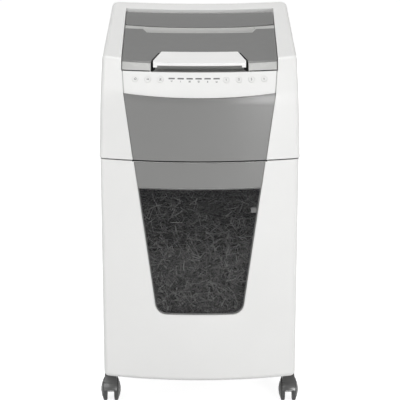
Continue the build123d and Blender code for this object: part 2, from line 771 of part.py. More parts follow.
pocket_outer = plan_prism(pocket_plan(FINGER_WALL), pocket_floor - FINGER_WALL, lip_z)
pocket_outer = (pocket_outer - lip_space) & front_form(panel_depth + SIDE_PLAY, HEAD_Z)
pocket_outer = pocket_outer - above_roof(frame_top + SEAT_GAP / 2)
pocket_inner = plan_prism(pocket_plan(0), pocket_floor, ROOF_Z)
lid_frame = frame_plate + lip_band + pocket_outer
lid_frame = lid_frame - pocket_inner

lid_hinge_y = REAR_Y - LID_HINGE_INSET
lid_hinge_z = roof_middle(lid_hinge_y) - LID_HINGE_DEPTH
barrel_web_top = roof_middle(lid_hinge_y) - frame_bottom + LID_FRAME_THICKNESS / 2
for side in (-1, 1):
    x0, x1 = sorted((side * LID_BARREL_INNER, side * LID_BARREL_OUTER))
    barrel = rod_x(LID_BARREL_RADIUS, x0, x1, lid_hinge_y, lid_hinge_z)
    web = block(x0, x1, lid_hinge_y - LID_BARREL_RADIUS, lid_hinge_y, lid_hinge_z, barrel_web_top)
    lid_frame = lid_frame + barrel + web
pin_bore = LID_PIN_RADIUS + PRESS_FIT
for side in (-1, 1):
    x0, x1 = sorted((side * LID_BARREL_INNER, side * LID_BARREL_OUTER))
    lid_frame = lid_frame - rod_x(pin_bore, x0, x1, lid_hinge_y, lid_hinge_z)

# Manual feed slot: a sloping funnel let into the lid above the cutter nip
slot_front = SLOT_Y - SLOT_FRONT_REACH
slot_rear = SLOT_Y + SLOT_REAR_REACH
slot_top_z = roof_middle(SLOT_Y) - LID_SINK
slit_z = slot_top_z - SLOT_DEPTH


def funnel(grow, top_z, bottom_z):
    """Funnel from the wide mouth in the lid down to the narrow slit."""
    rear_half = SLOT_HALF_LENGTH + grow
    front_half = rear_half - SLOT_CORNER_INSET
    corner_y = slot_front + SLOT_CORNER_DEPTH
    mouth = outline(
        (-front_half, slot_front - grow), (front_half, slot_front - grow), (rear_half, corner_y),
        (rear_half, slot_rear + grow), (-rear_half, slot_rear + grow), (-rear_half, corner_y),
    )
    half = SLIT_WIDTH / 2 + grow
    end = SLIT_HALF_LENGTH + grow
    slit = outline(
        (-end, SLOT_Y - half), (end, SLOT_Y - half), (end, SLOT_Y), (end, SLOT_Y + half),
        (-end, SLOT_Y + half), (-end, SLOT_Y),
    )
    return loft([Pos(0, 0, bottom_z) * slit, Pos(0, 0, top_z) * mouth], ruled=True)


mouth_rise = SLOT_HALF_LENGTH ** 2 / (2 * ROOF_DISH_RADIUS)
mouth_top_z = roof_middle(slot_rear) - LID_SINK + mouth_rise
throat_outer = funnel(SLOT_WALL, mouth_top_z, slit_z)
throat_inner = funnel(0, mouth_top_z + SLOT_WALL, slit_z - SLOT_WALL)
throat = (throat_outer - throat_inner) - above_roof(LID_SINK + SEAT_GAP)
pieces["slot_throat"] = throat
throat_hole = funnel(SLOT_WALL + SEAT_GAP, mouth_top_z, slit_z)
lid_frame = lid_frame - throat_hole

# Two cover sheets on the lid, with a strip of the frame left open between them
strip_front = SLOT_Y + COVER_STRIP_FRONT
strip_rear = SLOT_Y + COVER_STRIP_REAR
rear_edge = Pos(0, strip_rear + COVER_STRIP_BOW, ROOF_Z) * Cylinder(COVER_STRIP_BOW, HEAD_HEIGHT)
rear_cover = roof_layer(lid_prism(strip_rear, LID_REAR_Y, 0) & rear_edge, LID_SINK, frame_top)
front_cover = lid_prism(FRONT_Y, strip_front, 0) - lip_space
front_cover = roof_layer(front_cover, LID_SINK, frame_top) - throat_hole - pocket_inner
pieces["lid_rear_cover"] = rear_cover - throat_hole

# Handle: tapering flap with a drop lip, two lugs through the lid and trunnions in the frame's ears
handle_axis_y = handle_rear + HANDLE_AXIS_BEHIND
handle_axis_z = roof_middle(handle_axis_y) - HANDLE_AXIS_DEPTH
handle_plan = outline(
    (-HANDLE_REAR_HALF, handle_rear), (HANDLE_REAR_HALF, handle_rear),
    (HANDLE_SHOULDER_HALF, handle_shoulder), (HANDLE_FRONT_HALF, handle_front),
    (-HANDLE_FRONT_HALF, handle_front), (-HANDLE_SHOULDER_HALF, handle_shoulder),
)
handle_top = LID_SINK - HANDLE_RISE
handle_column = plan_prism(handle_plan, PARTING_Z, ROOF_Z + HEAD_HEIGHT)
handle = roof_layer(handle_column, handle_top, handle_top + HANDLE_THICKNESS)
drop_lip = handle_column & block(-FAR, FAR, -FAR, handle_front + HANDLE_LIP_THICKNESS, 0, FAR)
drop_lip = roof_layer(drop_lip, handle_top, handle_top + HANDLE_LIP_DEPTH)
handle = handle + drop_lip
for side in (-1, 1):
    x0, x1 = sorted((side * HANDLE_FRONT_HALF, side * (HANDLE_FRONT_HALF - HANDLE_FOOT_WIDTH)))
    foot = block(x0, x1, handle_front, handle_front + HANDLE_LIP_THICKNESS, 0, FAR)
    handle = handle + roof_layer(foot, handle_top, handle_top + HANDLE_LIP_DEPTH + HANDLE_FOOT_DROP)
    gap_rear = side * (HANDLE_REAR_HALF + SEAT_GAP)
    gap_front = side * (handle_half(pocket_back) + SEAT_GAP)
    margin = side * (HANDLE_GROOVE - SEAT_GAP)
    groove = outline(
        (gap_rear, handle_rear), (gap_rear + margin, handle_rear), (gap_front + margin, pocket_back),
        (gap_front, pocket_back),
    )
    groove = plan_prism(groove, PARTING_Z, ROOF_Z + HEAD_HEIGHT)
    front_cover = front_cover - groove
    lid_frame = lid_frame - groove
lug_rear = handle_rear - HANDLE_LUG_SETBACK
lug_front = lug_rear - HANDLE_LUG_LENGTH
lug_foot = handle_axis_z - HANDLE_EAR_RADIUS
lug_top = roof_middle(lug_front) - handle_top - HANDLE_THICKNESS / 2
for side in (-1, 1):
    x0 = side * HANDLE_LUG_X - HANDLE_LUG_WIDTH / 2
    x1 = x0 + HANDLE_LUG_WIDTH
    leg = block(x0, x1, lug_front, lug_rear, lug_foot, lug_top)
    foot = block(x0, x1, lug_front, handle_axis_y, lug_foot, handle_axis_z + HANDLE_PIN_RADIUS)
    pin_reach = HANDLE_EAR_WIDTH + SIDE_PLAY
    pin = rod_x(HANDLE_PIN_RADIUS, x0 - pin_reach, x1 + pin_reach, handle_axis_y, handle_axis_z)
    handle = handle + leg + foot + pin
    slot = block(
        x0 - SIDE_PLAY, x1 + SIDE_PLAY, lug_front - 2 * SIDE_PLAY, handle_rear - SIDE_PLAY / 2,
        PARTING_Z, ROOF_Z + HEAD_HEIGHT,
    )
    front_cover = front_cover - slot
    lid_frame = lid_frame - slot
    ear_top = roof_middle(handle_axis_y) - frame_bottom + LID_FRAME_THICKNESS / 2
    for ear_x in (x0 - SIDE_PLAY - HANDLE_EAR_WIDTH, x1 + SIDE_PLAY):
        ear_end = ear_x + HANDLE_EAR_WIDTH
        ear = rod_x(HANDLE_EAR_RADIUS, ear_x, ear_end, handle_axis_y, handle_axis_z)
        neck = block(
            ear_x, ear_end, handle_axis_y - HANDLE_EAR_RADIUS, handle_axis_y + HANDLE_EAR_RADIUS,
            handle_axis_z, ear_top,
        )
        bore = rod_x(HANDLE_PIN_RADIUS + RUNNING_FIT, ear_x, ear_end, handle_axis_y, handle_axis_z)
        lid_frame = lid_frame + ear + neck - bore
pieces["lid_handle"] = handle
pieces["lid_front_cover"] = front_cover
pieces["lid_frame"] = lid_frame

# Stack tray: dished deck under the lid, a paper well over the feed rollers, hinge posts
well_front = FRONT_Y + TRAY_FRONT_INSET
well_rear = REAR_Y - TRAY_REAR_INSET
deck_front = FRONT_Y + DECK_FRONT_INSET
deck_rear = lid_opening_rear - DECK_CLEARANCE
well_outer = TRAY_HALF + TRAY_WALL
tray_bottom = TRAY_Z - TRAY_FLOOR_THICKNESS
deck = roof_layer(
    lid_prism(deck_front, deck_rear, LID_GAP - DECK_CLEARANCE), DECK_DEPTH, DECK_DEPTH + DECK_THICKNESS
)
well = block(-well_outer, well_outer, well_front - TRAY_WALL, well_rear + TRAY_WALL, tray_bottom, ROOF_Z)
well = well - above_roof(DECK_DEPTH)
floor_half = PLATE_OUTER_X
tray_floor = block(
    -floor_half, floor_half, well_front - TRAY_WALL, well_rear + TRAY_WALL, tray_bottom, TRAY_Z
)
feed_tray = deck + well + tray_floor
feed_tray = feed_tray - block(-TRAY_HALF, TRAY_HALF, well_front, well_rear, TRAY_Z, ROOF_Z)
feed_tray = feed_tray - block(
    -SLIT_HALF_LENGTH, SLIT_HALF_LENGTH, SLOT_Y - TRAY_SLIT_HALF, SLOT_Y + TRAY_SLIT_HALF,
    tray_bottom, TRAY_Z,
)
roller_z = CUTTER_Z + ROLLER_RISE
tyre_places = [TYRE_PITCH * (i - (TYRE_COUNT - 1) / 2) for i in range(TYRE_COUNT)]
window_half_y = TYRE_RADIUS + TYRE_WINDOW_MARGIN
window_half_x = TYRE_WIDTH / 2 + TYRE_WINDOW_MARGIN
for reach in (-ROLLER_REACH, ROLLER_REACH):
    for x in tyre_places:
        feed_tray = feed_tray - block(
            x - window_half_x, x + window_half_x, SLOT_Y + reach - window_half_y,
            SLOT_Y + reach + window_half_y, tray_bottom, TRAY_Z,
        )
post_foot = roof_middle(lid_hinge_y) - DECK_DEPTH - DECK_THICKNESS / 2
for side in (-1, 1):
    inner = LID_BARREL_OUTER + SIDE_PLAY
    x0, x1 = sorted((side * inner, side * (inner + LID_POST_WIDTH)))
    post = rod_x(LID_BARREL_RADIUS, x0, x1, lid_hinge_y, lid_hinge_z)
    post = post + block(
        x0, x1, lid_hinge_y - LID_BARREL_RADIUS, lid_hinge_y + LID_BARREL_RADIUS, post_foot, lid_hinge_z
    )
    bore = rod_x(LID_PIN_RADIUS + RUNNING_FIT, x0, x1, lid_hinge_y, lid_hinge_z)
    feed_tray = feed_tray + post - bore
lid_pins = []
for side in (-1, 1):
    outer = LID_BARREL_OUTER + SIDE_PLAY + LID_POST_WIDTH
    x0, x1 = sorted((side * LID_BARREL_INNER, side * outer))
    lid_pins.append(rod_x(LID_PIN_RADIUS, x0, x1, lid_hinge_y, lid_hinge_z))
pieces["lid_hinge_pins"] = group(lid_pins)

# Lid lock under the deck and the striker tongue that drops into it
lock_front = FRONT_Y + LOCK_FRONT_INSET
lock_middle = lock_front + LOCK_DEPTH / 2
lock_top = roof_middle(lock_front) - DECK_DEPTH - DECK_THICKNESS - SEAT_GAP
striker_bottom = lock_top - STRIKER_ENTRY
striker_top = roof_middle(lock_middle) - frame_bottom
striker_front = lock_middle - STRIKER_THICKNESS / 2
striker_path = block(
    -STRIKER_WIDTH / 2 - SIDE_PLAY, STRIKER_WIDTH / 2 + SIDE_PLAY, striker_front - STRIKER_PLAY,
    striker_front + STRIKER_THICKNESS + SIDE_PLAY, striker_bottom - SIDE_PLAY, striker_top,
)
feed_tray = feed_tray - striker_path
pieces["feed_tray"] = feed_tray
lock_body = block(
    -LOCK_WIDTH / 2, LOCK_WIDTH / 2, lock_front, lock_front + LOCK_DEPTH, lock_top - LOCK_TALL,
    lock_top + LOCK_TALL,
)
lock_body = lock_body - above_roof(DECK_DEPTH + DECK_THICKNESS + SEAT_GAP)
pieces["lid_lock"] = lock_body - striker_path
striker = block(
    -STRIKER_WIDTH / 2, STRIKER_WIDTH / 2, striker_front, striker_front + STRIKER_THICKNESS,
    striker_bottom, striker_top + LID_FRAME_THICKNESS,
)
pieces["lid_striker"] = striker - above_roof(frame_bottom + SEAT_GAP / 2)

# Cutter frame: two upright plates, tie rods, bearings and stub axles
front_axis = (SLOT_Y - CUTTER_SPACING / 2, CUTTER_Z)
rear_axis = (SLOT_Y + CUTTER_SPACING / 2, CUTTER_Z)
front_roller = (SLOT_Y - ROLLER_REACH, roller_z)
rear_roller = (SLOT_Y + ROLLER_REACH, roller_z)


def polar(centre, distance, degrees):
    """Point at a distance and bearing from a centre, in the Y and Z plane."""
    angle = math.radians(degrees)
    return (centre[0] + distance * math.cos(angle), centre[1] + distance * math.sin(angle))


def between(first, second, first_reach, second_reach, side):
    """Point at two given distances from two centres, on the chosen side of their line."""
    span = math.dist(first, second)
    along = (first_reach ** 2 - second_reach ** 2 + span ** 2) / (2 * span)
    off = side * math.sqrt(max(0.0, first_reach ** 2 - along ** 2))
    dy = (second[0] - first[0]) / span
    dz = (second[1] - first[1]) / span
    return (first[0] + along * dy - off * dz, first[1] + along * dz + off * dy)


idler_near = SYNC_MODULE * (SYNC_TEETH + FEED_TEETH) / 2
idler_far = SYNC_MODULE * FEED_TEETH
front_idler = between(front_axis, front_roller, idler_near, idler_far, 1)
rear_idler = between(rear_axis, rear_roller, idler_near, idler_far, -1)
reduction_axis = polar(rear_axis, FINAL_MODULE * (WHEEL_TEETH + PINION_TEETH) / 2, REDUCTION_ANGLE)
motor_axis = polar(reduction_axis, MOTOR_MODULE * (WHEEL_TEETH + PINION_TEETH) / 2, MOTOR_ANGLE)

right_gear_x = PLATE_OUTER_X + GEAR_STANDOFF
right_shaft_x = right_gear_x + SYNC_WIDTH + SHAFT_END
motor_stage_x = -PLATE_OUTER_X - GEAR_STANDOFF
final_stage_x = motor_stage_x - MOTOR_STAGE_WIDTH - STAGE_GAP
left_shaft_x = final_stage_x - FINAL_STAGE_WIDTH - SHAFT_END
bearing_outer = CUTTER_SHAFT_RADIUS + BEARING_WALL
small_bearing_outer = ROLLER_SHAFT_RADIUS + BEARING_WALL
bearing_seats = [(front_axis, bearing_outer), (rear_axis, bearing_outer)]
bearing_seats += [(front_roller, small_bearing_outer), (rear_roller, small_bearing_outer)]

plate_front = SLOT_Y - PLATE_FRONT_REACH
plate_rear = SLOT_Y + PLATE_REAR_REACH
motor_rear = motor_axis[0] + MOTOR_RADIUS + MOTOR_MARGIN


def side_plate(x0, x1, rear, foot_x0, foot_x1):
    """Upright plate with bearing holes and a foot on the head base."""
    plate = block(x0, x1, plate_front, rear, HEAD_BASE_TOP, tray_bottom)
    foot = block(foot_x0, foot_x1, plate_front, rear, HEAD_BASE_TOP, HEAD_BASE_TOP + PLATE_THICKNESS)
    plate = plate + foot
    for (y, z), radius in bearing_seats:
        plate = plate - rod_x(radius + PRESS_FIT, x0, x1, y, z)
    return plate


right_plate = side_plate(
    PLATE_INNER_X, PLATE_OUTER_X, plate_rear, PLATE_INNER_X, PLATE_OUTER_X + PLATE_FOOT
)
left_plate = side_plate(
    -PLATE_OUTER_X, -PLATE_INNER_X, motor_rear, -PLATE_OUTER_X - PLATE_FOOT, -PLATE_INNER_X
)
motor_hole = rod_x(MOTOR_BOSS_RADIUS + SEAT_GAP, -PLATE_OUTER_X, -PLATE_INNER_X, *motor_axis)
left_plate = left_plate - motor_hole
rod_margin = 3 * TIE_ROD_RADIUS
rod_places = [
    (plate_front + rod_margin, CUTTER_Z), (plate_front + rod_margin, HEAD_BASE_TOP + 2 * rod_margin),
    polar(motor_axis, MOTOR_RADIUS + ROD_MOTOR_GAP + TIE_ROD_RADIUS, ROD_BEARING),
]
rods = []
for y, z in rod_places:
    rods.append(rod_x(TIE_ROD_RADIUS, -PLATE_OUTER_X, PLATE_OUTER_X, y, z))
    right_plate = right_plate - rod_x(TIE_ROD_RADIUS + PRESS_FIT, PLATE_INNER_X, PLATE_OUTER_X, y, z)
    left_plate = left_plate - rod_x(TIE_ROD_RADIUS + PRESS_FIT, -PLATE_OUTER_X, -PLATE_INNER_X, y, z)
for y, z in (front_idler, rear_idler):
    rods.append(rod_x(STUB_AXLE_RADIUS, PLATE_INNER_X, right_shaft_x, y, z))
    right_plate = right_plate - rod_x(STUB_AXLE_RADIUS + PRESS_FIT, PLATE_INNER_X, PLATE_OUTER_X, y, z)
rods.append(rod_x(STUB_AXLE_RADIUS, left_shaft_x, -PLATE_INNER_X, *reduction_axis))
left_plate = left_plate - rod_x(
    STUB_AXLE_RADIUS + PRESS_FIT, -PLATE_OUTER_X, -PLATE_INNER_X, *reduction_axis
)
pieces["cutter_side_plates"] = group([left_plate, right_plate])
pieces["frame_rods"] = group(rods)

bearings = []
for side in (-1, 1):
    x0, x1 = sorted((side * PLATE_INNER_X, side * PLATE_OUTER_X))
    collar_x0, collar_x1 = sorted((side * PLATE_OUTER_X, side * (PLATE_OUTER_X + BEARING_FLANGE)))
    for (y, z), radius in bearing_seats:
        bearing = rod_x(radius, x0, x1, y, z)
        bearing = bearing + rod_x(radius + BEARING_FLANGE, collar_x0, collar_x1, y, z)
        bore = radius - BEARING_WALL + RUNNING_FIT
        bearings.append(bearing - rod_x(bore, -right_shaft_x, right_shaft_x, y, z))
pieces["shaft_bearings"] = group(bearings)

# Cutters: rows of discs on a core, fluted so that every disc carries teeth
disc_span = DISC_PITCH * DISC_COUNT / 2
collar_end = PLATE_INNER_X - SIDE_PLAY / 2


def cutter(axis, first_disc, x_left, x_right):
    """Cutter shaft along X with evenly spaced discs from first_disc on."""
    profile = [(x_left, 0), (x_left, CUTTER_SHAFT_RADIUS), (-collar_end, CUTTER_SHAFT_RADIUS)]
    profile.append((-collar_end, CUTTER_CORE_RADIUS))
    for disc in range(DISC_COUNT):
        x0 = first_disc + DISC_PITCH * disc
        x1 = x0 + DISC_THICKNESS
        profile += [(x0, CUTTER_CORE_RADIUS), (x0, CUTTER_RADIUS)]
        profile += [(x1, CUTTER_RADIUS), (x1, CUTTER_CORE_RADIUS)]
    profile += [(collar_end, CUTTER_CORE_RADIUS), (collar_end, CUTTER_SHAFT_RADIUS)]
    profile += [(x_right, CUTTER_SHAFT_RADIUS), (x_right, 0)]
    solid = revolve(Plane.XZ * outline(*profile), Axis.X)
    flute_z = CUTTER_RADIUS - FLUTE_DEPTH / 2 + FLUTE_WIDTH / 2
    flute = Pos(0, 0, flute_z) * Box(2 * collar_end, FLUTE_WIDTH, FLUTE_DEPTH + FLUTE_WIDTH)
    for turn in range(FLUTE_COUNT):
        solid = solid - Rot(360 * turn / FLUTE_COUNT, 0, 0) * flute
    return Pos(0, *axis) * solid


disc_gap = DISC_PITCH / 2 - DISC_THICKNESS
front_first = -disc_span + disc_gap / 2
rear_first = front_first + DISC_PITCH / 2
pieces["cutter_front"] = cutter(front_axis, front_first, -PLATE_OUTER_X, right_shaft_x)
pieces["cutter_rear"] = cutter(rear_axis, rear_first, left_shaft_x, right_shaft_x)

# Stripper combs: a bar in front of and behind the cutters with one finger in each disc gap
combs = []
comb_reach = CUTTER_CORE_RADIUS + COMB_CLEARANCE
for axis, first, side in ((front_axis, front_first, -1), (rear_axis, rear_first, 1)):
    bar_near = axis[0] + side * (CUTTER_RADIUS + COMB_CLEARANCE)
    bar_far = bar_near + side * COMB_BAR_DEPTH
    y0, y1 = sorted((bar_near, bar_far))
    half = COMB_BAR_HEIGHT / 2
    comb = block(-PLATE_INNER_X, PLATE_INNER_X, y0, y1, CUTTER_Z - half, CUTTER_Z + half)
    y0, y1 = sorted((axis[0] + side * comb_reach, bar_far))
    fingers = []
    for gap in range(DISC_COUNT - 1):
        middle = first + DISC_PITCH * gap + (DISC_PITCH + DISC_THICKNESS) / 2
        fingers.append(block(
            middle - COMB_FINGER_WIDTH / 2, middle + COMB_FINGER_WIDTH / 2, y0, y1,
            CUTTER_Z - COMB_FINGER_HEIGHT / 2, CUTTER_Z + COMB_FINGER_HEIGHT / 2,
        ))
    combs.append(comb.fuse(*fingers))
pieces["stripper_combs"] = group(combs)

# Gear train: twin cutter gears, idlers to the feed rollers, two reduction stages to the motor
front_phase = 0.0
rear_phase = mesh_phase(front_axis, front_phase, SYNC_TEETH, rear_axis, SYNC_TEETH)
sync_x = (right_gear_x, right_gear_x + SYNC_WIDTH)
shaft_bore = CUTTER_SHAFT_RADIUS + PRESS_FIT
pieces["sync_gear_front"] = gear(SYNC_MODULE, SYNC_TEETH, front_phase, *sync_x, *front_axis, shaft_bore)
pieces["sync_gear_rear"] = gear(SYNC_MODULE, SYNC_TEETH, rear_phase, *sync_x, *rear_axis, shaft_bore)


def roller_drive(cutter_axis, cutter_phase, idler_axis, roller_axis):
    """Idler gear, and the roller with its gear and tyres, driven from a cutter gear."""
    idler_phase = mesh_phase(cutter_axis, cutter_phase, SYNC_TEETH, idler_axis, FEED_TEETH)
    roller_phase = mesh_phase(idler_axis, idler_phase, FEED_TEETH, roller_axis, FEED_TEETH)
    idler = gear(
        SYNC_MODULE, FEED_TEETH, idler_phase, *sync_x, *idler_axis, STUB_AXLE_RADIUS + RUNNING_FIT
    )
    roller_bore = ROLLER_SHAFT_RADIUS + PRESS_FIT
    wheel = gear(SYNC_MODULE, FEED_TEETH, roller_phase, *sync_x, *roller_axis, roller_bore)
    shaft = rod_x(ROLLER_SHAFT_RADIUS, -PLATE_OUTER_X, right_shaft_x, *roller_axis)
    tyres = []
    for x in tyre_places:
        tyre = rod_x(TYRE_RADIUS, x - TYRE_WIDTH / 2, x + TYRE_WIDTH / 2, *roller_axis)
        tyres.append(tyre - rod_x(roller_bore, x - TYRE_WIDTH, x + TYRE_WIDTH, *roller_axis))
    return idler, group([shaft, wheel, *tyres])


front_drive = roller_drive(front_axis, front_phase, front_idler, front_roller)
rear_drive = roller_drive(rear_axis, rear_phase, rear_idler, rear_roller)
pieces["idler_gear_front"], pieces["feed_roller_front"] = front_drive
pieces["idler_gear_rear"], pieces["feed_roller_rear"] = rear_drive

final_x = (final_stage_x - FINAL_STAGE_WIDTH, final_stage_x)
motor_x = (motor_stage_x - MOTOR_STAGE_WIDTH, motor_stage_x)
pieces["drive_gear"] = gear(FINAL_MODULE, WHEEL_TEETH, 0.0, *final_x, *rear_axis, shaft_bore)
small_phase = mesh_phase(rear_axis, 0.0, WHEEL_TEETH, reduction_axis, PINION_TEETH)
axle_bore = STUB_AXLE_RADIUS + RUNNING_FIT
small_wheel = gear(FINAL_MODULE, PINION_TEETH, small_phase, *final_x, *reduction_axis, axle_bore)
large_wheel = gear(MOTOR_MODULE, WHEEL_TEETH, small_phase, *motor_x, *reduction_axis, axle_bore)
hub_radius = FINAL_MODULE * (PINION_TEETH / 2 - DEDENDUM)
hub = rod_x(hub_radius, final_stage_x, motor_x[0], *reduction_axis)
hub = hub - rod_x(axle_bore, final_stage_x, motor_x[0], *reduction_axis)
pieces["reduction_gear"] = small_wheel + hub + large_wheel
pinion_phase = mesh_phase(reduction_axis, small_phase, WHEEL_TEETH, motor_axis, PINION_TEETH)
pinion_end = -PLATE_INNER_X + MOTOR_SHAFT_DEPTH
pinion = gear(MOTOR_MODULE, PINION_TEETH, pinion_phase, *motor_x, *motor_axis, MOTOR_SHAFT_RADIUS)
motor_shaft = rod_x(MOTOR_SHAFT_RADIUS, motor_x[0], pinion_end, *motor_axis)
pieces["motor_pinion"] = pinion + motor_shaft

# Motor on the left plate, with a boss through the plate round its shaft
motor_end = -PLATE_INNER_X + MOTOR_LENGTH
motor = rod_x(MOTOR_RADIUS, -PLATE_INNER_X, motor_end, *motor_axis)
motor = motor + rod_x(MOTOR_BOSS_RADIUS, -PLATE_OUTER_X, -PLATE_INNER_X, *motor_axis)
motor_bore = MOTOR_SHAFT_RADIUS + RUNNING_FIT
pieces["motor"] = motor - rod_x(motor_bore, -PLATE_OUTER_X, pinion_end + SIDE_PLAY, *motor_axis)

# Base plate with sockets for the caster stems
caster_x = HALF_WIDTH - CASTER_SIDE_INSET
caster_places = {
    "front_left": (-caster_x, FRONT_Y + CASTER_FRONT_INSET),
    "front_right": (caster_x, FRONT_Y + CASTER_FRONT_INSET),
    "rear_left": (-caster_x, REAR_Y - CASTER_REAR_INSET),
    "rear_right": (caster_x, REAR_Y - CASTER_REAR_INSET),
}


def rear_block(half, y0, y1, corner):
    """Plan rectangle with rounded rear corners."""
    face = outline((-half, y0), (half, y0), (half, y1), (-half, y1))
    return fillet(face.vertices().group_by(Axis.Y)[-1], corner)


cabinet_front = SPLIT_Y + DRAWER_SIDE_GAP
base_nose_offset = DRAWER_FLANGE + DRAWER_BASE_GAP
nose = bowed_plan(HALF_WIDTH - base_nose_offset, base_nose_offset, 0, FRONT_CORNER_RADIUS)
base_plate = plan_prism(nose, BASE_Z, BASE_TOP)
base_rear = rear_block(HALF_WIDTH, cabinet_front, REAR_Y, REAR_CORNER_RADIUS)
base_plate = base_plate + plan_prism(base_rear, BASE_Z, BASE_TOP)
for x, y in caster_places.values():
    base_plate = base_plate - rod_z(STEM_RADIUS + RUNNING_FIT, x, y, BASE_Z, BASE_TOP)
pieces["base_plate"] = base_plate

# Cabinet shell: both sides and the back, with a rim inside its top that carries the head
shell_top = PARTING_Z - SHELL_DROP
cabinet_outer = plan_prism(base_rear, BASE_TOP, shell_top)
inner_half = HALF_WIDTH - WALL
inner_corner = REAR_CORNER_RADIUS - WALL
cabinet_inner = plan_prism(
    rear_block(inner_half, -FAR, REAR_Y - WALL, inner_corner), BASE_TOP, shell_top
)
rim_half = inner_half - SEAT_RIM_WIDTH
rim_face = rear_block(inner_half, cabinet_front, REAR_Y - WALL, inner_corner)
rim_hole = rear_block(rim_half, -FAR, REAR_Y - WALL - SEAT_RIM_WIDTH, inner_corner - SEAT_RIM_WIDTH)
rim = plan_prism(rim_face, shell_top - SEAT_RIM_HEIGHT, HEAD_Z)
rim = rim - plan_prism(rim_hole, shell_top - SEAT_RIM_HEIGHT, HEAD_Z)
cabinet_shell = (cabinet_outer - cabinet_inner) + rim

# Rear screws: flush heads let into the cabinet's back wall
screws = []
for x in (-HALF_WIDTH + SCREW_EDGE, HALF_WIDTH - SCREW_EDGE):
    for z in (BASE_TOP + SCREW_EDGE, shell_top - SCREW_EDGE):
        place = Plane(origin=(x, REAR_Y, z), x_dir=(1, 0, 0), z_dir=(0, -1, 0))
        screw = peg(SCREW_RADIUS, WALL / 2, SEAT_GAP) + peg(SCREW_SHANK_RADIUS, SCREW_LENGTH, SEAT_GAP)
        recess = peg(SCREW_RADIUS + PRESS_FIT, WALL / 2, 0)
        hole = peg(SCREW_SHANK_RADIUS + PRESS_FIT, SCREW_LENGTH, 0)
        cabinet_shell = cabinet_shell - place * recess - place * hole
        screws.append(place * screw)
pieces["cabinet_shell"] = cabinet_shell
pieces["shell_screws"] = group(screws)

# Head base: floor of the head with the opening that shreds fall through
base_half = HEAD_HALF - WALL - HEAD_BASE_CLEARANCE
head_base_front = 2 * WALL + HEAD_BASE_CLEARANCE
head_base_plan = bowed_plan(base_half, head_base_front, 0, FRONT_CORNER_RADIUS - WALL)
base_back = REAR_Y - WALL - HEAD_BASE_CLEARANCE
lean_in = HEAD_BASE_THICKNESS * math.tan(math.radians(SIDE_DRAFT))
rear_plan = rear_block(base_half - lean_in, 0, base_back - lean_in, REAR_CORNER_RADIUS - WALL)
head_base = plan_prism(head_base_plan, HEAD_Z, HEAD_BASE_TOP) + plan_prism(rear_plan, HEAD_Z, HEAD_BASE_TOP)
head_base = head_base & head_form(WALL + HEAD_BASE_CLEARANCE / 2, HEAD_Z - WALL)
head_base = head_base - block(
    -PLATE_INNER_X, PLATE_INNER_X, SLOT_Y - SHRED_OPENING_HALF_DEPTH, SLOT_Y + SHRED_OPENING_HALF_DEPTH,
    HEAD_Z, HEAD_BASE_TOP,
)

# Drawer switch: its plunger reaches through the head base to the drawer's top flange
switch_x = HALF_WIDTH - SWITCH_SIDE_INSET
switch_y = bow_y(switch_x) + SWITCH_INSET
plunger = rod_z(
    SWITCH_PLUNGER_RADIUS, -switch_x, switch_y, DRAWER_TOP + SWITCH_PLUNGER_GAP, HEAD_BASE_TOP
)
switch_case = block(
    -switch_x - SWITCH_WIDTH / 2, -switch_x + SWITCH_WIDTH / 2, switch_y - SWITCH_DEPTH / 2,
    switch_y + SWITCH_DEPTH / 2, HEAD_BASE_TOP, HEAD_BASE_TOP + SWITCH_TALL,
)
pieces["drawer_switch"] = switch_case + plunger
plunger_hole = SWITCH_PLUNGER_RADIUS + KEY_CLEARANCE
head_base = head_base - rod_z(plunger_hole, -switch_x, switch_y, HEAD_Z, HEAD_BASE_TOP)
pieces["head_base"] = head_base

# Power board on four posts, with its transformer and capacitor
board_z = HEAD_BASE_TOP + POWER_BOARD_POST
board_x = HALF_WIDTH - POWER_BOARD_SIDE_INSET
board_y = REAR_Y - POWER_BOARD_REAR_INSET
board_x0 = board_x - POWER_BOARD_WIDTH / 2
board_y0 = board_y - POWER_BOARD_DEPTH / 2
power_board = block(
    board_x0, board_x0 + POWER_BOARD_WIDTH, board_y0, board_y0 + POWER_BOARD_DEPTH, board_z,
    board_z + BOARD_THICKNESS,
)
post_half_x = POWER_BOARD_WIDTH / 2 - POWER_POST_INSET
post_half_y = POWER_BOARD_DEPTH / 2 - POWER_POST_INSET
for post_x in (board_x - post_half_x, board_x + post_half_x):
    for post_y in (board_y - post_half_y, board_y + post_half_y):
        power_board = power_board + rod_z(BOARD_POST_RADIUS, post_x, post_y, HEAD_BASE_TOP, board_z)
transformer_x = board_x0 + TRANSFORMER_INSET
transformer_y = board_y0 + TRANSFORMER_INSET
transformer = block(
    transformer_x, transformer_x + TRANSFORMER_SIZE, transformer_y, transformer_y + TRANSFORMER_SIZE,
    board_z, board_z + TRANSFORMER_SIZE,
)
capacitor = rod_z(
    CAPACITOR_RADIUS, board_x0 + POWER_BOARD_WIDTH - CAPACITOR_INSET, board_y0 + CAPACITOR_INSET,
    board_z, board_z + TRANSFORMER_SIZE,
)
pieces["power_board"] = power_board + transformer + capacitor

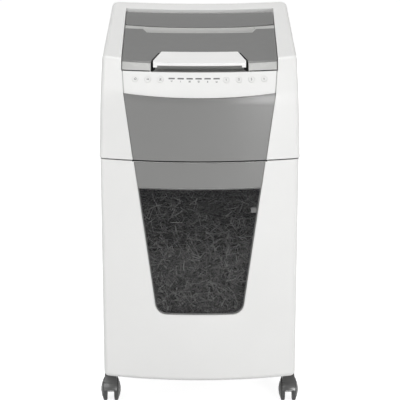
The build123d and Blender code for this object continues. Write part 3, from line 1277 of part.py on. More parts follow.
# Mains inlet module in the rear wall: socket with three pins, and the bay of the rocker switch.
# A row of cooling slots is cut beside it, behind the motor
inlet_x = HALF_WIDTH - INLET_SIDE_INSET
inlet_z = PARTING_Z + INLET_HEIGHT
inlet_y = rear_wall_y(inlet_z + INLET_TALL / 2) - INLET_RECESS
inlet_body = block(
    inlet_x - INLET_WIDTH / 2, inlet_x + INLET_WIDTH / 2, inlet_y - INLET_DEPTH, inlet_y,
    inlet_z - INLET_TALL / 2, inlet_z + INLET_TALL / 2,
)
inlet_hole = block(
    inlet_x - INLET_WIDTH / 2 - SEAT_GAP, inlet_x + INLET_WIDTH / 2 + SEAT_GAP, inlet_y - INLET_DEPTH,
    inlet_y + INLET_DEPTH, inlet_z - INLET_TALL / 2 - SEAT_GAP, inlet_z + INLET_TALL / 2 + SEAT_GAP,
)
head_shell = head_shell - inlet_hole
vent_z = PARTING_Z + VENT_HEIGHT
for vent in range(VENT_COUNT):
    vent_x = VENT_SIDE_INSET - HALF_WIDTH + VENT_PITCH * vent
    head_shell = head_shell - block(
        vent_x - VENT_WIDTH / 2, vent_x + VENT_WIDTH / 2, inlet_y - INLET_DEPTH, REAR_Y,
        vent_z - VENT_TALL / 2, vent_z + VENT_TALL / 2,
    )
pieces["head_shell"] = head_shell
socket_x = inlet_x - SOCKET_OFFSET
socket = block(
    socket_x - SOCKET_WIDTH / 2, socket_x + SOCKET_WIDTH / 2, inlet_y - SOCKET_DEPTH, inlet_y,
    inlet_z - SOCKET_TALL / 2, inlet_z + SOCKET_TALL / 2,
)
rocker_x = inlet_x - ROCKER_OFFSET
rocker_y = inlet_y - ROCKER_RECESS - ROCKER_DEPTH / 2
bay = block(
    rocker_x - ROCKER_WIDTH / 2 - SIDE_PLAY, rocker_x + ROCKER_WIDTH / 2 + SIDE_PLAY,
    inlet_y - ROCKER_RECESS - 2 * ROCKER_DEPTH, inlet_y,
    inlet_z - ROCKER_TALL / 2 - ROCKER_PLAY, inlet_z + ROCKER_TALL / 2 + ROCKER_PLAY,
)
pivot_half = ROCKER_WIDTH / 2 + 3 * SIDE_PLAY
pivot_radius = ROCKER_PIN_RADIUS + RUNNING_FIT
pivot_hole = rod_x(pivot_radius, rocker_x - pivot_half, rocker_x + pivot_half, rocker_y, inlet_z)
mains_inlet = inlet_body - socket - bay - pivot_hole
for pin_x in (-SOCKET_WIDTH / 3, 0, SOCKET_WIDTH / 3):
    mains_inlet = mains_inlet + block(
        socket_x + pin_x - SOCKET_PIN_WIDTH / 2, socket_x + pin_x + SOCKET_PIN_WIDTH / 2,
        inlet_y - SOCKET_DEPTH, inlet_y - SIDE_PLAY, inlet_z - SOCKET_PIN_TALL / 2,
        inlet_z + SOCKET_PIN_TALL / 2,
    )
pieces["mains_inlet"] = mains_inlet
pin_half = pivot_half - SIDE_PLAY
rocker = Box(ROCKER_WIDTH, ROCKER_DEPTH, ROCKER_TALL) + rod_x(ROCKER_PIN_RADIUS, -pin_half, pin_half, 0, 0)
pieces["mains_switch"] = Pos(rocker_x, rocker_y, inlet_z) * Rot(ROCKER_TILT, 0, 0) * rocker

# Drawer front: bowed skin that wraps both corners, with a backing frame behind its opening
drawer_outer = plan_prism(bowed_plan(HALF_WIDTH, 0, SPLIT_Y, FRONT_CORNER_RADIUS), BASE_Z, DRAWER_TOP)
outer_edges = [e for e in drawer_outer.edges() if e.center().Z < BASE_Z + WALL / 2]
outer_edges = [e for e in outer_edges if e.center().Y < SPLIT_Y - WALL / 2]
drawer_outer = fillet(outer_edges, DRAWER_BOTTOM_RADIUS)
inner_plan = bowed_plan(HALF_WIDTH - WALL, WALL, REAR_Y, FRONT_CORNER_RADIUS - WALL)
drawer_inner = plan_prism(inner_plan, BASE_Z + WALL, DRAWER_TOP - WALL)
inner_edges = [e for e in drawer_inner.edges() if e.center().Z < BASE_Z + 1.5 * WALL]
inner_edges = [e for e in inner_edges if e.center().Y < REAR_Y - WALL]
drawer_inner = fillet(inner_edges, DRAWER_BOTTOM_RADIUS - WALL)
flange_plan = bowed_plan(HALF_WIDTH - DRAWER_FLANGE, DRAWER_FLANGE, REAR_Y, FRONT_CORNER_RADIUS)
drawer_front = drawer_outer - drawer_inner - plan_prism(flange_plan, BASE_Z, DRAWER_TOP)
window_top = PARTING_Z - WINDOW_TOP
window_bottom = PARTING_Z - WINDOW_BOTTOM


def window_outline(top_z, grow):
    """Dark face of the drawer below top_z, with rounded lower corners, wider by grow."""
    face = face_outline(window_bottom - grow, top_z, grow)
    corners = face.vertices().group_by(Axis.Y)[0]
    return fillet(corners, WINDOW_CORNER_RADIUS + grow)


skin_front = FRONT_Y - WALL
skin_back = bow_y(HALF_WIDTH / 2 + FACE_HALF_AT_BREAK / 2) + DRAWER_FLANGE
face_top = PARTING_Z + WALL
frame_back = WALL + FRAME_THICKNESS
backing = bow_ring(WALL, frame_back, window_bottom - FRAME_OVERLAP, DRAWER_TOP)
backing = backing & front_prism(window_outline(face_top, FRAME_OVERLAP), skin_front, skin_back)
view_hole = front_prism(window_outline(window_top - FRAME_LEDGE, -FRAME_LEDGE), skin_front, skin_back)
drawer_front = drawer_front - front_prism(window_outline(face_top, 0), skin_front, skin_back)
pieces["drawer_front"] = drawer_front + (backing - view_hole)

# Dark band and smoked window let into the drawer front
band = bow_ring(FACE_SINK, WALL - SEAT_GAP, window_top + FACE_GAP, DRAWER_TOP - DRAWER_DROP)
band_face = face_outline(window_top + FACE_GAP, DRAWER_TOP - DRAWER_DROP, -FACE_GAP)
pieces["drawer_band"] = band & front_prism(band_face, skin_front, skin_back)
window = bow_ring(WINDOW_SINK, WALL - SEAT_GAP, window_bottom, window_top)
window_face = window_outline(window_top, -FACE_GAP)
pieces["drawer_window"] = window & front_prism(window_face, skin_front, skin_back)

# Bin-full sensor eye at the right edge of the window
sensor_z = PARTING_Z - SENSOR_HEIGHT
sensor_edge = face_half(sensor_z - SENSOR_SIZE / 2) - FRAME_LEDGE
sensor_low = sensor_z - SENSOR_SIZE / 2
sensor = bow_ring(WALL + SEAT_GAP, WALL + SENSOR_DEPTH, sensor_low, sensor_low + SENSOR_SIZE)
sensor = sensor & block(sensor_edge - SENSOR_SIZE, sensor_edge, FRONT_Y, 0, BASE_Z, PARTING_Z)
pieces["bin_full_sensor"] = sensor

# Bin tub behind the drawer front, with side flanges that ride on the runners
tub_offset = frame_back + SEAT_GAP
tub_bottom = BASE_TOP + TUB_BOTTOM_GAP
tub_top = DRAWER_TOP - TUB_TOP_GAP
tub_rear = REAR_Y - TUB_REAR_GAP


def tub_form(inset, z0, z1):
    """Bin tub moved in by inset."""
    plan = bowed_plan(TUB_HALF - inset, tub_offset + inset, tub_rear - inset, TUB_CORNER_RADIUS - inset)
    return plan_prism(plan, z0, z1)


shelf_z = BASE_Z + RUNNER_HEIGHT
flange_half = inner_half - RUNNER_SHEET - TUB_FLANGE_PLAY
tub_flange = block(
    -flange_half, flange_half, cabinet_front + RUNNER_FRONT_GAP, tub_rear, shelf_z + SLIDE_GAP,
    shelf_z + SLIDE_GAP + TUB_FLANGE_THICKNESS,
)
bin_tub = tub_form(0, tub_bottom, tub_top) + tub_flange
bin_tub = bin_tub - tub_form(TUB_WALL, tub_bottom + TUB_WALL, tub_top)
sensor_room = block(
    sensor_edge - SENSOR_SIZE - SIDE_PLAY, sensor_edge + SIDE_PLAY, FRONT_Y, tub_rear / 2,
    sensor_z - SENSOR_SIZE / 2 - SIDE_PLAY, sensor_z + SENSOR_SIZE / 2 + SIDE_PLAY,
)
pieces["bin_tub"] = bin_tub - view_hole - sensor_room

# Heap of shreds lying in the bin: its outer crust, hollow underneath to weigh as loose paper does
heap_top = PARTING_Z - HEAP_TOP_GAP
heap_foot = tub_bottom + TUB_WALL + SLIDE_GAP


def heap_form(inset):
    """Domed heap moved in by inset at the sides and the top."""
    column = tub_form(TUB_WALL + HEAP_CLEARANCE + inset, heap_foot, heap_top)
    dome = Sphere(HEAP_DOME_RADIUS - inset)
    return column & Pos(0, SLOT_Y, heap_top - HEAP_DOME_RADIUS) * dome


pieces["paper_shreds"] = heap_form(0) - heap_form(HEAP_CRUST)

# Drawer runners: an angle on each cabinet wall
runners = []
for side in (-1, 1):
    runner_y = (cabinet_front + RUNNER_FRONT_GAP, REAR_Y - RUNNER_REAR_GAP)
    wall_x = side * inner_half
    x0, x1 = sorted((wall_x, wall_x - side * RUNNER_SHELF))
    shelf = block(x0, x1, *runner_y, shelf_z - RUNNER_SHEET, shelf_z)
    x0, x1 = sorted((wall_x, wall_x - side * RUNNER_SHEET))
    web_z = shelf_z - RUNNER_WEB_HEIGHT / 2
    runners.append(shelf + block(x0, x1, *runner_y, web_z, web_z + RUNNER_WEB_HEIGHT))
pieces["drawer_runners"] = group(runners)

# Casters: a hooded housing on a stem, and twin domed wheels on one axle
hood_radius = WHEEL_RADIUS + HOOD_GAP
hood_outer = hood_radius + HOOD_THICKNESS
neck_top = BASE_Z - NECK_GAP


def caster_housing(x, y):
    """Housing whose wheels stand in front of the swivel stem, under a crowned hood."""
    axle_y = y - CASTER_TRAIL
    half = HOOD_HALF_WIDTH
    edge = hood_outer - HOOD_CROWN
    crown = ThreePointArc((-half, edge), (0, hood_outer), (half, edge))
    ends = Polyline((half, edge), (half, 0), (-half, 0), (-half, edge))
    hood = Pos(x, axle_y, WHEEL_RADIUS) * revolve(Plane.XZ * make_face(crown + ends), Axis.X)
    shoulder = polar((axle_y, WHEEL_RADIUS), hood_outer, HOOD_SHOULDER_ANGLE)
    profile = outline(
        (axle_y, WHEEL_RADIUS), shoulder, (y - NECK_RADIUS, neck_top), (y + NECK_RADIUS, neck_top),
        (y + NECK_RADIUS, WHEEL_RADIUS),
    )
    neck = side_prism(profile, x - half, x + half)
    flank = outline(
        (x + NECK_RADIUS, neck_top), (x - NECK_RADIUS, neck_top), (x - half, HOOD_SHOULDER), (x - half, 0),
        (x + half, 0), (x + half, HOOD_SHOULDER),
    )
    body = (hood + neck) & front_prism(flank, axle_y - 2 * hood_outer, axle_y + 3 * hood_outer)
    room = CASTER_HALF_WIDTH + SIDE_PLAY
    for side in (-1, 1):
        x0, x1 = sorted((x + side * WEB_HALF_WIDTH, x + side * room))
        body = body - rod_x(hood_radius, x0, x1, axle_y, WHEEL_RADIUS)
    body = body - block(x - room, x + room, axle_y - 2 * hood_outer, axle_y + 3 * hood_outer, 0, HOOD_BOTTOM)
    brow = outline(
        (axle_y - 2 * hood_outer, HOOD_BOTTOM), (axle_y - HOOD_BOSS, HOOD_BOTTOM),
        (axle_y - hood_outer, HOOD_BROW), (axle_y - 2 * hood_outer, HOOD_BROW),
    )
    body = body - side_prism(brow, x - room, x + room)
    body = body + rod_z(STEM_RADIUS, x, y, WHEEL_RADIUS + hood_radius, BASE_TOP - STEM_TOP_GAP)
    return body - rod_x(AXLE_RADIUS + RUNNING_FIT, x - room, x + room, axle_y, WHEEL_RADIUS)


def caster_wheels(x, y):
    """Two wheels with domed outer faces on one axle."""
    inner = WEB_HALF_WIDTH + WHEEL_PLAY
    rim = CASTER_HALF_WIDTH - WHEEL_DOME
    solids = []
    for side in (-1, 1):
        dome = TangentArc((side * CASTER_HALF_WIDTH, 0), (side * rim, WHEEL_RADIUS), tangent=(0, 1))
        edges = Polyline(
            (side * rim, WHEEL_RADIUS), (side * inner, WHEEL_RADIUS), (side * inner, 0),
            (side * CASTER_HALF_WIDTH, 0),
        )
        wheel = revolve(Plane.XZ * make_face(dome + edges), Axis.X)
        wheel = fillet([edge for edge in wheel.edges() if edge.is_closed], WHEEL_EDGE_RADIUS)
        x0, x1 = sorted((side * inner, side * CASTER_HALF_WIDTH))
        solids.append(wheel - rod_x(AXLE_RADIUS + PRESS_FIT, x0, x1, 0, 0))
    axle_half = CASTER_HALF_WIDTH - WHEEL_EDGE_RADIUS
    solids.append(rod_x(AXLE_RADIUS, -axle_half, axle_half, 0, 0))
    return group([Pos(x, y - CASTER_TRAIL, WHEEL_RADIUS) * solid for solid in solids])


for name, place in caster_places.items():
    pieces["caster_housing_" + name] = caster_housing(*place)
    pieces["caster_wheels_" + name] = caster_wheels(*place)

for name, body in pieces.items():
    export_step(body, os.path.join("parts", name + ".step"))
print(len(pieces), "nodes")
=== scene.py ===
"""Looks of the paper shredder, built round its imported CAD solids, in metres."""
import math
import random

import bmesh
import bpy
from mathutils import Matrix, Vector, noise


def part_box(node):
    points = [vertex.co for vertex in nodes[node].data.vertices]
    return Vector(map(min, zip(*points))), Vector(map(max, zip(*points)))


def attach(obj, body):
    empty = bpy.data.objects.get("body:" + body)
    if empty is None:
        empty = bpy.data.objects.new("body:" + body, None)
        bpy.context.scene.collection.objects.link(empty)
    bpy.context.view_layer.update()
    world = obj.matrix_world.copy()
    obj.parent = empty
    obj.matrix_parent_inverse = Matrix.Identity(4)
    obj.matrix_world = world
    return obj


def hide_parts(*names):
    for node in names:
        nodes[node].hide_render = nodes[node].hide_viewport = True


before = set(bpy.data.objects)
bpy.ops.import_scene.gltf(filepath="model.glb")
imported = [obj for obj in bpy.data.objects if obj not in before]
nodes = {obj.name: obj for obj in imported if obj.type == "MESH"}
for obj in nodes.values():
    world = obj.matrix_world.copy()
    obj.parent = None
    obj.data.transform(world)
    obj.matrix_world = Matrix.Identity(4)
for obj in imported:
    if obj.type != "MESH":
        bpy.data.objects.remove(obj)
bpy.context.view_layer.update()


# Base plate: a thick black moulding that closes the cabinet from below and holds the caster stems.
# It is injection moulded in recycled plastic, so its tone drifts a little and its grain is coarse.
class Wire:
    """One socket of a material's nodes; arithmetic on wires adds Math nodes."""

    def __init__(self, tree, socket=None):
        self.tree = tree
        self.socket = socket

    def feed(self, node, inputs):
        """Gives a node's sockets their values or links."""
        for name, value in inputs.items():
            if isinstance(value, Wire):
                self.tree.links.new(value.socket, node.inputs[name])
            else:
                node.inputs[name].default_value = value

    def node(self, kind, settings, inputs, out=0):
        """A new node of a type: its settings first, then its sockets."""
        made = self.tree.nodes.new(kind)
        for name, value in settings.items():
            setattr(made, name, value)
        self.feed(made, inputs)
        return Wire(self.tree, made.outputs[out])

    def maths(self, operation, first, second):
        return self.node("ShaderNodeMath", {"operation": operation}, {0: first, 1: second})

    def mix(self, share, first, second):
        """Colour between two colours."""
        return self.node("ShaderNodeMix", {"data_type": "RGBA"}, {0: share, 6: first, 7: second}, 2)

    def __add__(self, other):
        return self.maths("ADD", self, other)

    def __radd__(self, other):
        return self.maths("ADD", other, self)

    def __sub__(self, other):
        return self.maths("SUBTRACT", self, other)

    def __rsub__(self, other):
        return self.maths("SUBTRACT", other, self)

    def __mul__(self, other):
        return self.maths("MULTIPLY", self, other)

    def __rmul__(self, other):
        return self.maths("MULTIPLY", other, self)

    def __gt__(self, other):
        return self.maths("GREATER_THAN", self, other)

    def __lt__(self, other):
        return self.maths("LESS_THAN", self, other)


def new_finish(name):
    """An empty material and the wire that its nodes grow from."""
    finish = bpy.data.materials.new(name)
    finish.use_nodes = True
    return finish, Wire(finish.node_tree)


def settle(finish, wire, sockets):
    """Feeds the material's main shader."""
    wire.feed(finish.node_tree.nodes["Principled BSDF"], sockets)
    return finish


def toned(colour, share):
    return (colour[0] * share, colour[1] * share, colour[2] * share, 1.0)


def moulded(name, colour, rough, grain, sheen=0.3, mark=None, marked=None):
    """Moulded plastic: a slow drift in tone, the fine grain of an etched mould, and any marked area."""
    finish, wire = new_finish(name)
    place = wire.node("ShaderNodeTexCoord", {}, {}, "Object")
    drift = wire.node("ShaderNodeTexNoise", {}, {"Vector": place, "Scale": 7.0, "Detail": 3.0})
    etched = wire.node("ShaderNodeTexNoise", {}, {"Vector": place, "Scale": 1900.0, "Detail": 2.0})
    rubbed = wire.node("ShaderNodeTexNoise", {}, {"Vector": place, "Scale": 38.0, "Detail": 5.0})
    relief = wire.node("ShaderNodeBump", {}, {"Height": etched, "Strength": grain, "Distance": 0.0002})
    tone_swing, rub_swing, drift_swing = 0.035, 0.08, 0.04
    tone = wire.mix(drift, toned(colour, 1 - tone_swing), toned(colour, 1 + tone_swing))
    if marked:
        x, y, z = [wire.node("ShaderNodeSeparateXYZ", {}, {"Vector": place}, axis) for axis in "XYZ"]
        tone = wire.mix(marked(wire, x, y, z), tone, toned(mark, 1.0))
    return settle(finish, wire, {
        "Base Color": tone,
        "Roughness": rough - (rub_swing + drift_swing) / 2 + rub_swing * rubbed + drift_swing * drift,
        "Specular IOR Level": sheen,
        "Normal": relief,
    })


def paint(finish, *names):
    """Puts a finish on CAD nodes."""
    for name in names:
        for slot in nodes[name].material_slots:
            slot.material = finish


def ease(width, *names):
    """Rounds the sharp edges of CAD nodes a little, as a mould leaves them."""
    for name in names:
        weld = nodes[name].modifiers.new("closed_seams", "WELD")
        weld.merge_threshold = 0.000002
        bevel = nodes[name].modifiers.new("eased_edges", "BEVEL")
        bevel.width = width
        bevel.segments = 2
        bevel.limit_method = "ANGLE"
        bevel.angle_limit = math.radians(50)
        shading = nodes[name].modifiers.new("even_shading", "WEIGHTED_NORMAL")
        shading.mode = "FACE_AREA"
        shading.weight = 100


black_tone = (0.035, 0.035, 0.037)
black_moulding = moulded("black_moulding", black_tone, 0.55, 0.5)
paint(black_moulding, "base_plate")


# Casters: a grey hooded housing on a steel stem and a pair of wheels on one axle under each corner.
# The housings are nylon with a slight gloss, the wheels have a soft dark tread round a paler hub,
# and a ribbed cap is pressed into the domed outer face of each wheel.
def axis_distance(wire, place, y, z):
    """Distance from a line along X through y and z."""
    along_y = wire.node("ShaderNodeSeparateXYZ", {}, {"Vector": place}, "Y") - y
    along_z = wire.node("ShaderNodeSeparateXYZ", {}, {"Vector": place}, "Z") - z
    return wire.maths("SQRT", along_y * along_y + along_z * along_z, 0.0)


def rolling(name, axle_y, axle_z, hub_radius):
    """Wheel: tread outside, hub inside, scuffed where it rolls."""
    finish, wire = new_finish(name)
    place = wire.node("ShaderNodeTexCoord", {}, {}, "Object")
    tread = axis_distance(wire, place, axle_y, axle_z) > hub_radius
    scuff = wire.node("ShaderNodeTexNoise", {}, {"Vector": place, "Scale": 240.0, "Detail": 6.0})
    dusty = wire.mix(scuff, (0.045, 0.045, 0.046, 1), (0.085, 0.085, 0.083, 1))
    relief = wire.node("ShaderNodeBump", {}, {"Height": scuff, "Strength": 0.3, "Distance": 0.0003})
    return settle(finish, wire, {
        "Base Color": wire.mix(tread, (0.16, 0.16, 0.16, 1), dusty),
        "Roughness": 0.35 + 0.25 * tread + 0.1 * scuff,
        "Normal": relief,
    })


def link(name, mesh, finish, body):
    """A new piece from a finished bmesh, painted and riding on its body."""
    data = bpy.data.meshes.new(name)
    bmesh.ops.recalc_face_normals(mesh, faces=mesh.faces)
    mesh.to_mesh(data)
    mesh.free()
    piece = bpy.data.objects.new(name, data)
    bpy.context.scene.collection.objects.link(piece)
    data.materials.append(finish)
    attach(piece, body)
    return piece


def lathe(mesh, profile, steps, place):
    """Turns a profile of (radius, height) pairs, first and last on the axis, into a closed skin."""
    rings = []
    for radius, height in profile:
        turns = steps if radius > 0 else 1
        ring = []
        for step in range(turns):
            turn = 2 * math.pi * step / steps
            spot = Vector((radius * math.cos(turn), radius * math.sin(turn), height))
            ring.append(mesh.verts.new(place @ spot))
        rings.append(ring)
    for low, high in zip(rings, rings[1:]):
        for step in range(steps):
            ahead = (step + 1) % steps
            corners = [low[step % len(low)], low[ahead % len(low)]]
            corners += [high[ahead % len(high)], high[step % len(high)]]
            kept = []
            for corner in corners:
                if corner not in kept:
                    kept.append(corner)
            if len(kept) > 2:
                mesh.faces.new(kept)


caster_grey = moulded("caster_grey", (0.125, 0.125, 0.124), 0.24, 0.12, 0.6)
cap_grey = moulded("cap_grey", (0.13, 0.13, 0.128), 0.3, 0.12, 0.5)
wheel_axle_height, wheel_dome_radius, wheel_hub_radius = 0.025, 0.065, 0.0195
cap_back, cap_steps = -0.0032, 40
cap_relief = [
    (0.0165, 0.0003), (0.0158, 0.0007), (0.0132, 0.0007), (0.0124, 0.0001), (0.0097, 0.0001),
    (0.0070, 0.0001), (0.0062, 0.0010), (0.0048, 0.0012), (0, 0.0013),
]
cap_profile = [(0, cap_back), (cap_relief[0][0], cap_back)]
cap_profile += [(radius, rise - radius ** 2 / (2 * wheel_dome_radius)) for radius, rise in cap_relief]
rib_count, rib_reach, rib_rise = 6, 0.0098, 0.0004
rib_size = (0.0066, 0.0012, 0.0008, 1)
rib_slope = rib_reach / wheel_dome_radius
rib_height = rib_rise - rib_reach ** 2 / (2 * wheel_dome_radius)
for corner in ("front_left", "front_right", "rear_left", "rear_right"):
    housing, wheels = "caster_housing_" + corner, "caster_wheels_" + corner
    paint(caster_grey, housing)
    ease(0.0007, housing)
    low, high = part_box(wheels)
    axle_y = (low.y + high.y) / 2
    paint(rolling("wheel_" + corner, axle_y, wheel_axle_height, wheel_hub_radius), wheels)
    for side, face_x, turn in (("left", low.x, -math.pi / 2), ("right", high.x, math.pi / 2)):
        place = Matrix.Translation((face_x, axle_y, wheel_axle_height)) @ Matrix.Rotation(turn, 4, "Y")
        mesh = bmesh.new()
        lathe(mesh, cap_profile, cap_steps, place)
        for rib in range(rib_count):
            spoke = place @ Matrix.Rotation(2 * math.pi * rib / rib_count, 4, "Z")
            spoke = spoke @ Matrix.Translation((rib_reach, 0, rib_height))
            spoke = spoke @ Matrix.Rotation(rib_slope, 4, "Y") @ Matrix.Diagonal(rib_size)
            bmesh.ops.create_cube(mesh, size=1, matrix=spoke)
        link("wheel_cap_" + corner + "_" + side, mesh, cap_grey, "wheels_" + corner)


# Cabinet shell: both sides and the back in one white moulding with a fine satin grain.
# Four countersunk cross-head screws hold its back, and folded steel runners are fixed inside it.
shell_white = (0.80, 0.80, 0.79)
white_moulding = moulded("white_moulding", shell_white, 0.42, 0.2)
paint(white_moulding, "cabinet_shell")
ease(0.0008, "cabinet_shell")


def steel(name, colour, rough, scale, oil=0.0):
    """Bright or plated steel with drawn marks and a little dulling."""
    finish, wire = new_finish(name)
    place = wire.node("ShaderNodeTexCoord", {}, {}, "Object")
    across = scale * 14
    drawn = wire.node("ShaderNodeMapping", {}, {"Vector": place, "Scale": (scale, across, across)})
    marks = wire.node("ShaderNodeTexNoise", {}, {"Vector": drawn, "Scale": 10.0, "Detail": 4.0})
    dull = wire.node("ShaderNodeTexNoise", {}, {"Vector": place, "Scale": 45.0, "Detail": 5.0})
    relief = wire.node("ShaderNodeBump", {}, {"Height": marks, "Strength": 0.12, "Distance": 0.0002})
    return settle(finish, wire, {
        "Base Color": wire.mix(dull, toned(colour, 0.86 - oil), toned(colour, 1.06)),
        "Metallic": 1.0,
        "Roughness": rough + 0.12 * marks + 0.08 * dull,
        "Normal": relief,
    })


bright_steel = steel("bright_steel", (0.56, 0.56, 0.57), 0.22, 20.0)
plated_sheet = steel("plated_sheet", (0.62, 0.62, 0.6), 0.36, 6.0)
paint(bright_steel, "shell_screws")
paint(plated_sheet, "drawer_runners")
# Each screw's cross recess is not cut: a thin black cross stands on its head as painted shade.
screw_shadow = moulded("screw_cross_shade", (0.015, 0.015, 0.015), 0.6, 0.1)
low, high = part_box("shell_screws")
screw_radius, cross_sink = 0.0035, 0.0002
cross_long, cross_narrow, cross_deep = 0.0038, 0.0009, 0.0006
for column, x in (("left", low.x + screw_radius), ("right", high.x - screw_radius)):
    for row, z in (("low", low.z + screw_radius), ("high", high.z - screw_radius)):
        mesh = bmesh.new()
        for width, tall in ((cross_long, cross_narrow), (cross_narrow, cross_long)):
            place = Matrix.Translation((x, high.y - cross_sink, z))
            place = place @ Matrix.Diagonal((width, cross_deep, tall, 1))
            bmesh.ops.create_cube(mesh, size=1, matrix=place)
        link("screw_cross_" + column + "_" + row, mesh, screw_shadow, "cabinet")


# Drawer: a bowed white front that wraps both corners, a grey band let into it under the parting line,
# and a dark moulded tub behind, open at the top, which slides on the runners with its heap of paper.
# A small white sensor eye is clipped in beside the window, and the top edge behind the band is black
# painted shade.
band_tone, gap_shade_black = (0.208, 0.208, 0.204), (0.02, 0.02, 0.02)
tub_moulding = moulded("tub_moulding", (0.03, 0.03, 0.032), 0.5, 0.4)
gap_shade_height, gap_shade_half = 0.0009, 0.136
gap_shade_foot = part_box("drawer_front")[1].z - gap_shade_height


def in_gap_shade(wire, x, y, z):
    """Painted shade: black along the drawer's top edge behind the grey band, where the parting gap lies
    in shadow.
    """
    return (z > gap_shade_foot) * (x < gap_shade_half) * (x > -gap_shade_half)


# The front and the band both carry the black painted shade along the top edge behind the band.
drawer_white = moulded("drawer_white", shell_white, 0.42, 0.2, 0.3, gap_shade_black, in_gap_shade)
band_grey = moulded("band_grey", band_tone, 0.3, 0.25, 0.5, gap_shade_black, in_gap_shade)
paint(drawer_white, "drawer_front")
paint(band_grey, "drawer_band")
paint(tub_moulding, "bin_tub")
sensor_white = moulded("sensor_white", (0.86, 0.86, 0.85), 0.4, 0.1)
paint(sensor_white, "bin_full_sensor")
ease(0.0008, "drawer_front", "bin_full_sensor")
ease(0.0004, "drawer_band")


# Window: a curved sheet of smoked clear plastic snapped into the drawer front from outside.
# It is polished, dark enough to hide the tub, and lets the nearest paper show through.
smoked, wire = new_finish("smoked_plastic")
place = wire.node("ShaderNodeTexCoord", {}, {}, "Object")
haze = wire.node("ShaderNodeTexNoise", {}, {"Vector": place, "Scale": 30.0, "Detail": 4.0})
settle(smoked, wire, {
    "Base Color": (0.012, 0.012, 0.013, 1),
    "Roughness": 0.05 + 0.06 * haze,
    "Alpha": 0.36,
    "Specular IOR Level": 0.3,
})
paint(smoked, "drawer_window")


# Shredded paper: cross-cut strips, 1 to 2.5 mm wide and up to 30 mm long, loose in the tub.
# The heap has a lumpy core, and its front and top are strewn with single curled strips.
low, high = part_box("paper_shreds")
heap_half = high.x
heap_rear, heap_foot, heap_top = high.y, low.z, high.z
bow_centre_y = 0.511
heap_bow = bow_centre_y - low.y
dome_radius, dome_y = 0.9, 0.024
dome_drop, hollow_depth, hollow_share = 0.006, 0.012, 0.15
hollow_scale, hollow_slice = 14, 3.0
crust, lump_height, lump_scale = 0.026, 0.003, 60
draws = random.Random(11)


def heap_front(x):
    """Front of the heap, bowed like the window before it."""
    return bow_centre_y - math.sqrt(heap_bow ** 2 - x * x)


def heap_height(x, y):
    """Top of the domed heap, with hollows between its lumps."""
    dome = heap_top - (x * x + (y - dome_y) ** 2) / (2 * dome_radius)
    hollow = noise.fractal(Vector((x * hollow_scale, y * hollow_scale, hollow_slice)), 1.0, 2.0, 3)
    return dome - dome_drop - hollow_depth * max(0.0, hollow + hollow_share)


def core_point(across, along, up):
    """Point of the core, from shares of its width, depth and height."""
    half = heap_half - crust / 2
    x = half * (2 * across - 1)
    front = heap_front(x) + crust
    y = front + (heap_rear - crust / 2 - front) * along
    z = heap_foot + (heap_height(x, y) - crust - heap_foot) * up
    lump = lump_height * noise.noise(Vector((x * lump_scale, y * lump_scale, z * lump_scale)))
    edge = (1 if along in (0, 1) else 0) * (1 if up > 0 else 0)
    return Vector((x, y + lump * edge * (1 - 2 * along), z))


def block_skin(mesh, counts, put):
    """Closed skin of a block of cells whose grid points are put in place by a function."""
    spots = {}

    def spot(*cell):
        if cell not in spots:
            spots[cell] = mesh.verts.new(put(*[c / n for c, n in zip(cell, counts)]))
        return spots[cell]

    for axis in range(3):
        first, second = [other for other in range(3) if other != axis]
        for end in (0, counts[axis]):
            for i in range(counts[first]):
                for j in range(counts[second]):
                    corners = []
                    for di, dj in ((0, 0), (1, 0), (1, 1), (0, 1)):
                        cell = [0, 0, 0]
                        cell[axis], cell[first], cell[second] = end, i + di, j + dj
                        corners.append(spot(*cell))
                    mesh.faces.new(corners)


heap = bmesh.new()
core_cells = (36, 44, 26)
block_skin(heap, core_cells, core_point)
shortest_strip, longest_strip, sheet_thickness = 0.012, 0.030, 0.00018
strip_sections, strip_curl, strip_twist, strip_margin = 4, 9.0, 0.5, 0.0006


def strip_on(mesh, centre, facing, spread, width):
    """One curled strip of paper lying roughly flat to a facing direction."""
    length = draws.uniform(shortest_strip, longest_strip)
    turn = draws.uniform(0, math.pi)
    facing = (facing + Vector([draws.gauss(0, spread) for axis in range(3)])).normalized()
    along = Matrix.Rotation(turn, 3, facing) @ facing.orthogonal().normalized()
    curl = draws.gauss(0, strip_curl)
    twist = draws.gauss(0, strip_twist)
    limit = heap_half - strip_margin
    rings = []
    for section in range(strip_sections):
        share = section / (strip_sections - 1) - 0.5
        middle = centre + along * (length * share) + facing * (curl * (length * share) ** 2)
        up = Matrix.Rotation(twist * share, 3, along) @ facing
        side = along.cross(up) * (width / 2)
        ring = []
        for across, rise in ((-1, -1), (1, -1), (1, 1), (-1, 1)):
            spot = middle + side * across + up * (rise * sheet_thickness / 2)
            spot.x = max(-limit, min(limit, spot.x))
            spot.y = max(heap_front(spot.x) + strip_margin, min(heap_rear - strip_margin, spot.y))
            ring.append(mesh.verts.new(spot))
        rings.append(ring)
    for near, far in zip(rings, rings[1:]):
        for edge in range(4):
            ahead = (edge + 1) % 4
            mesh.faces.new((near[edge], near[ahead], far[ahead], far[edge]))
    mesh.faces.new(list(reversed(rings[0])))
    mesh.faces.new(rings[-1])


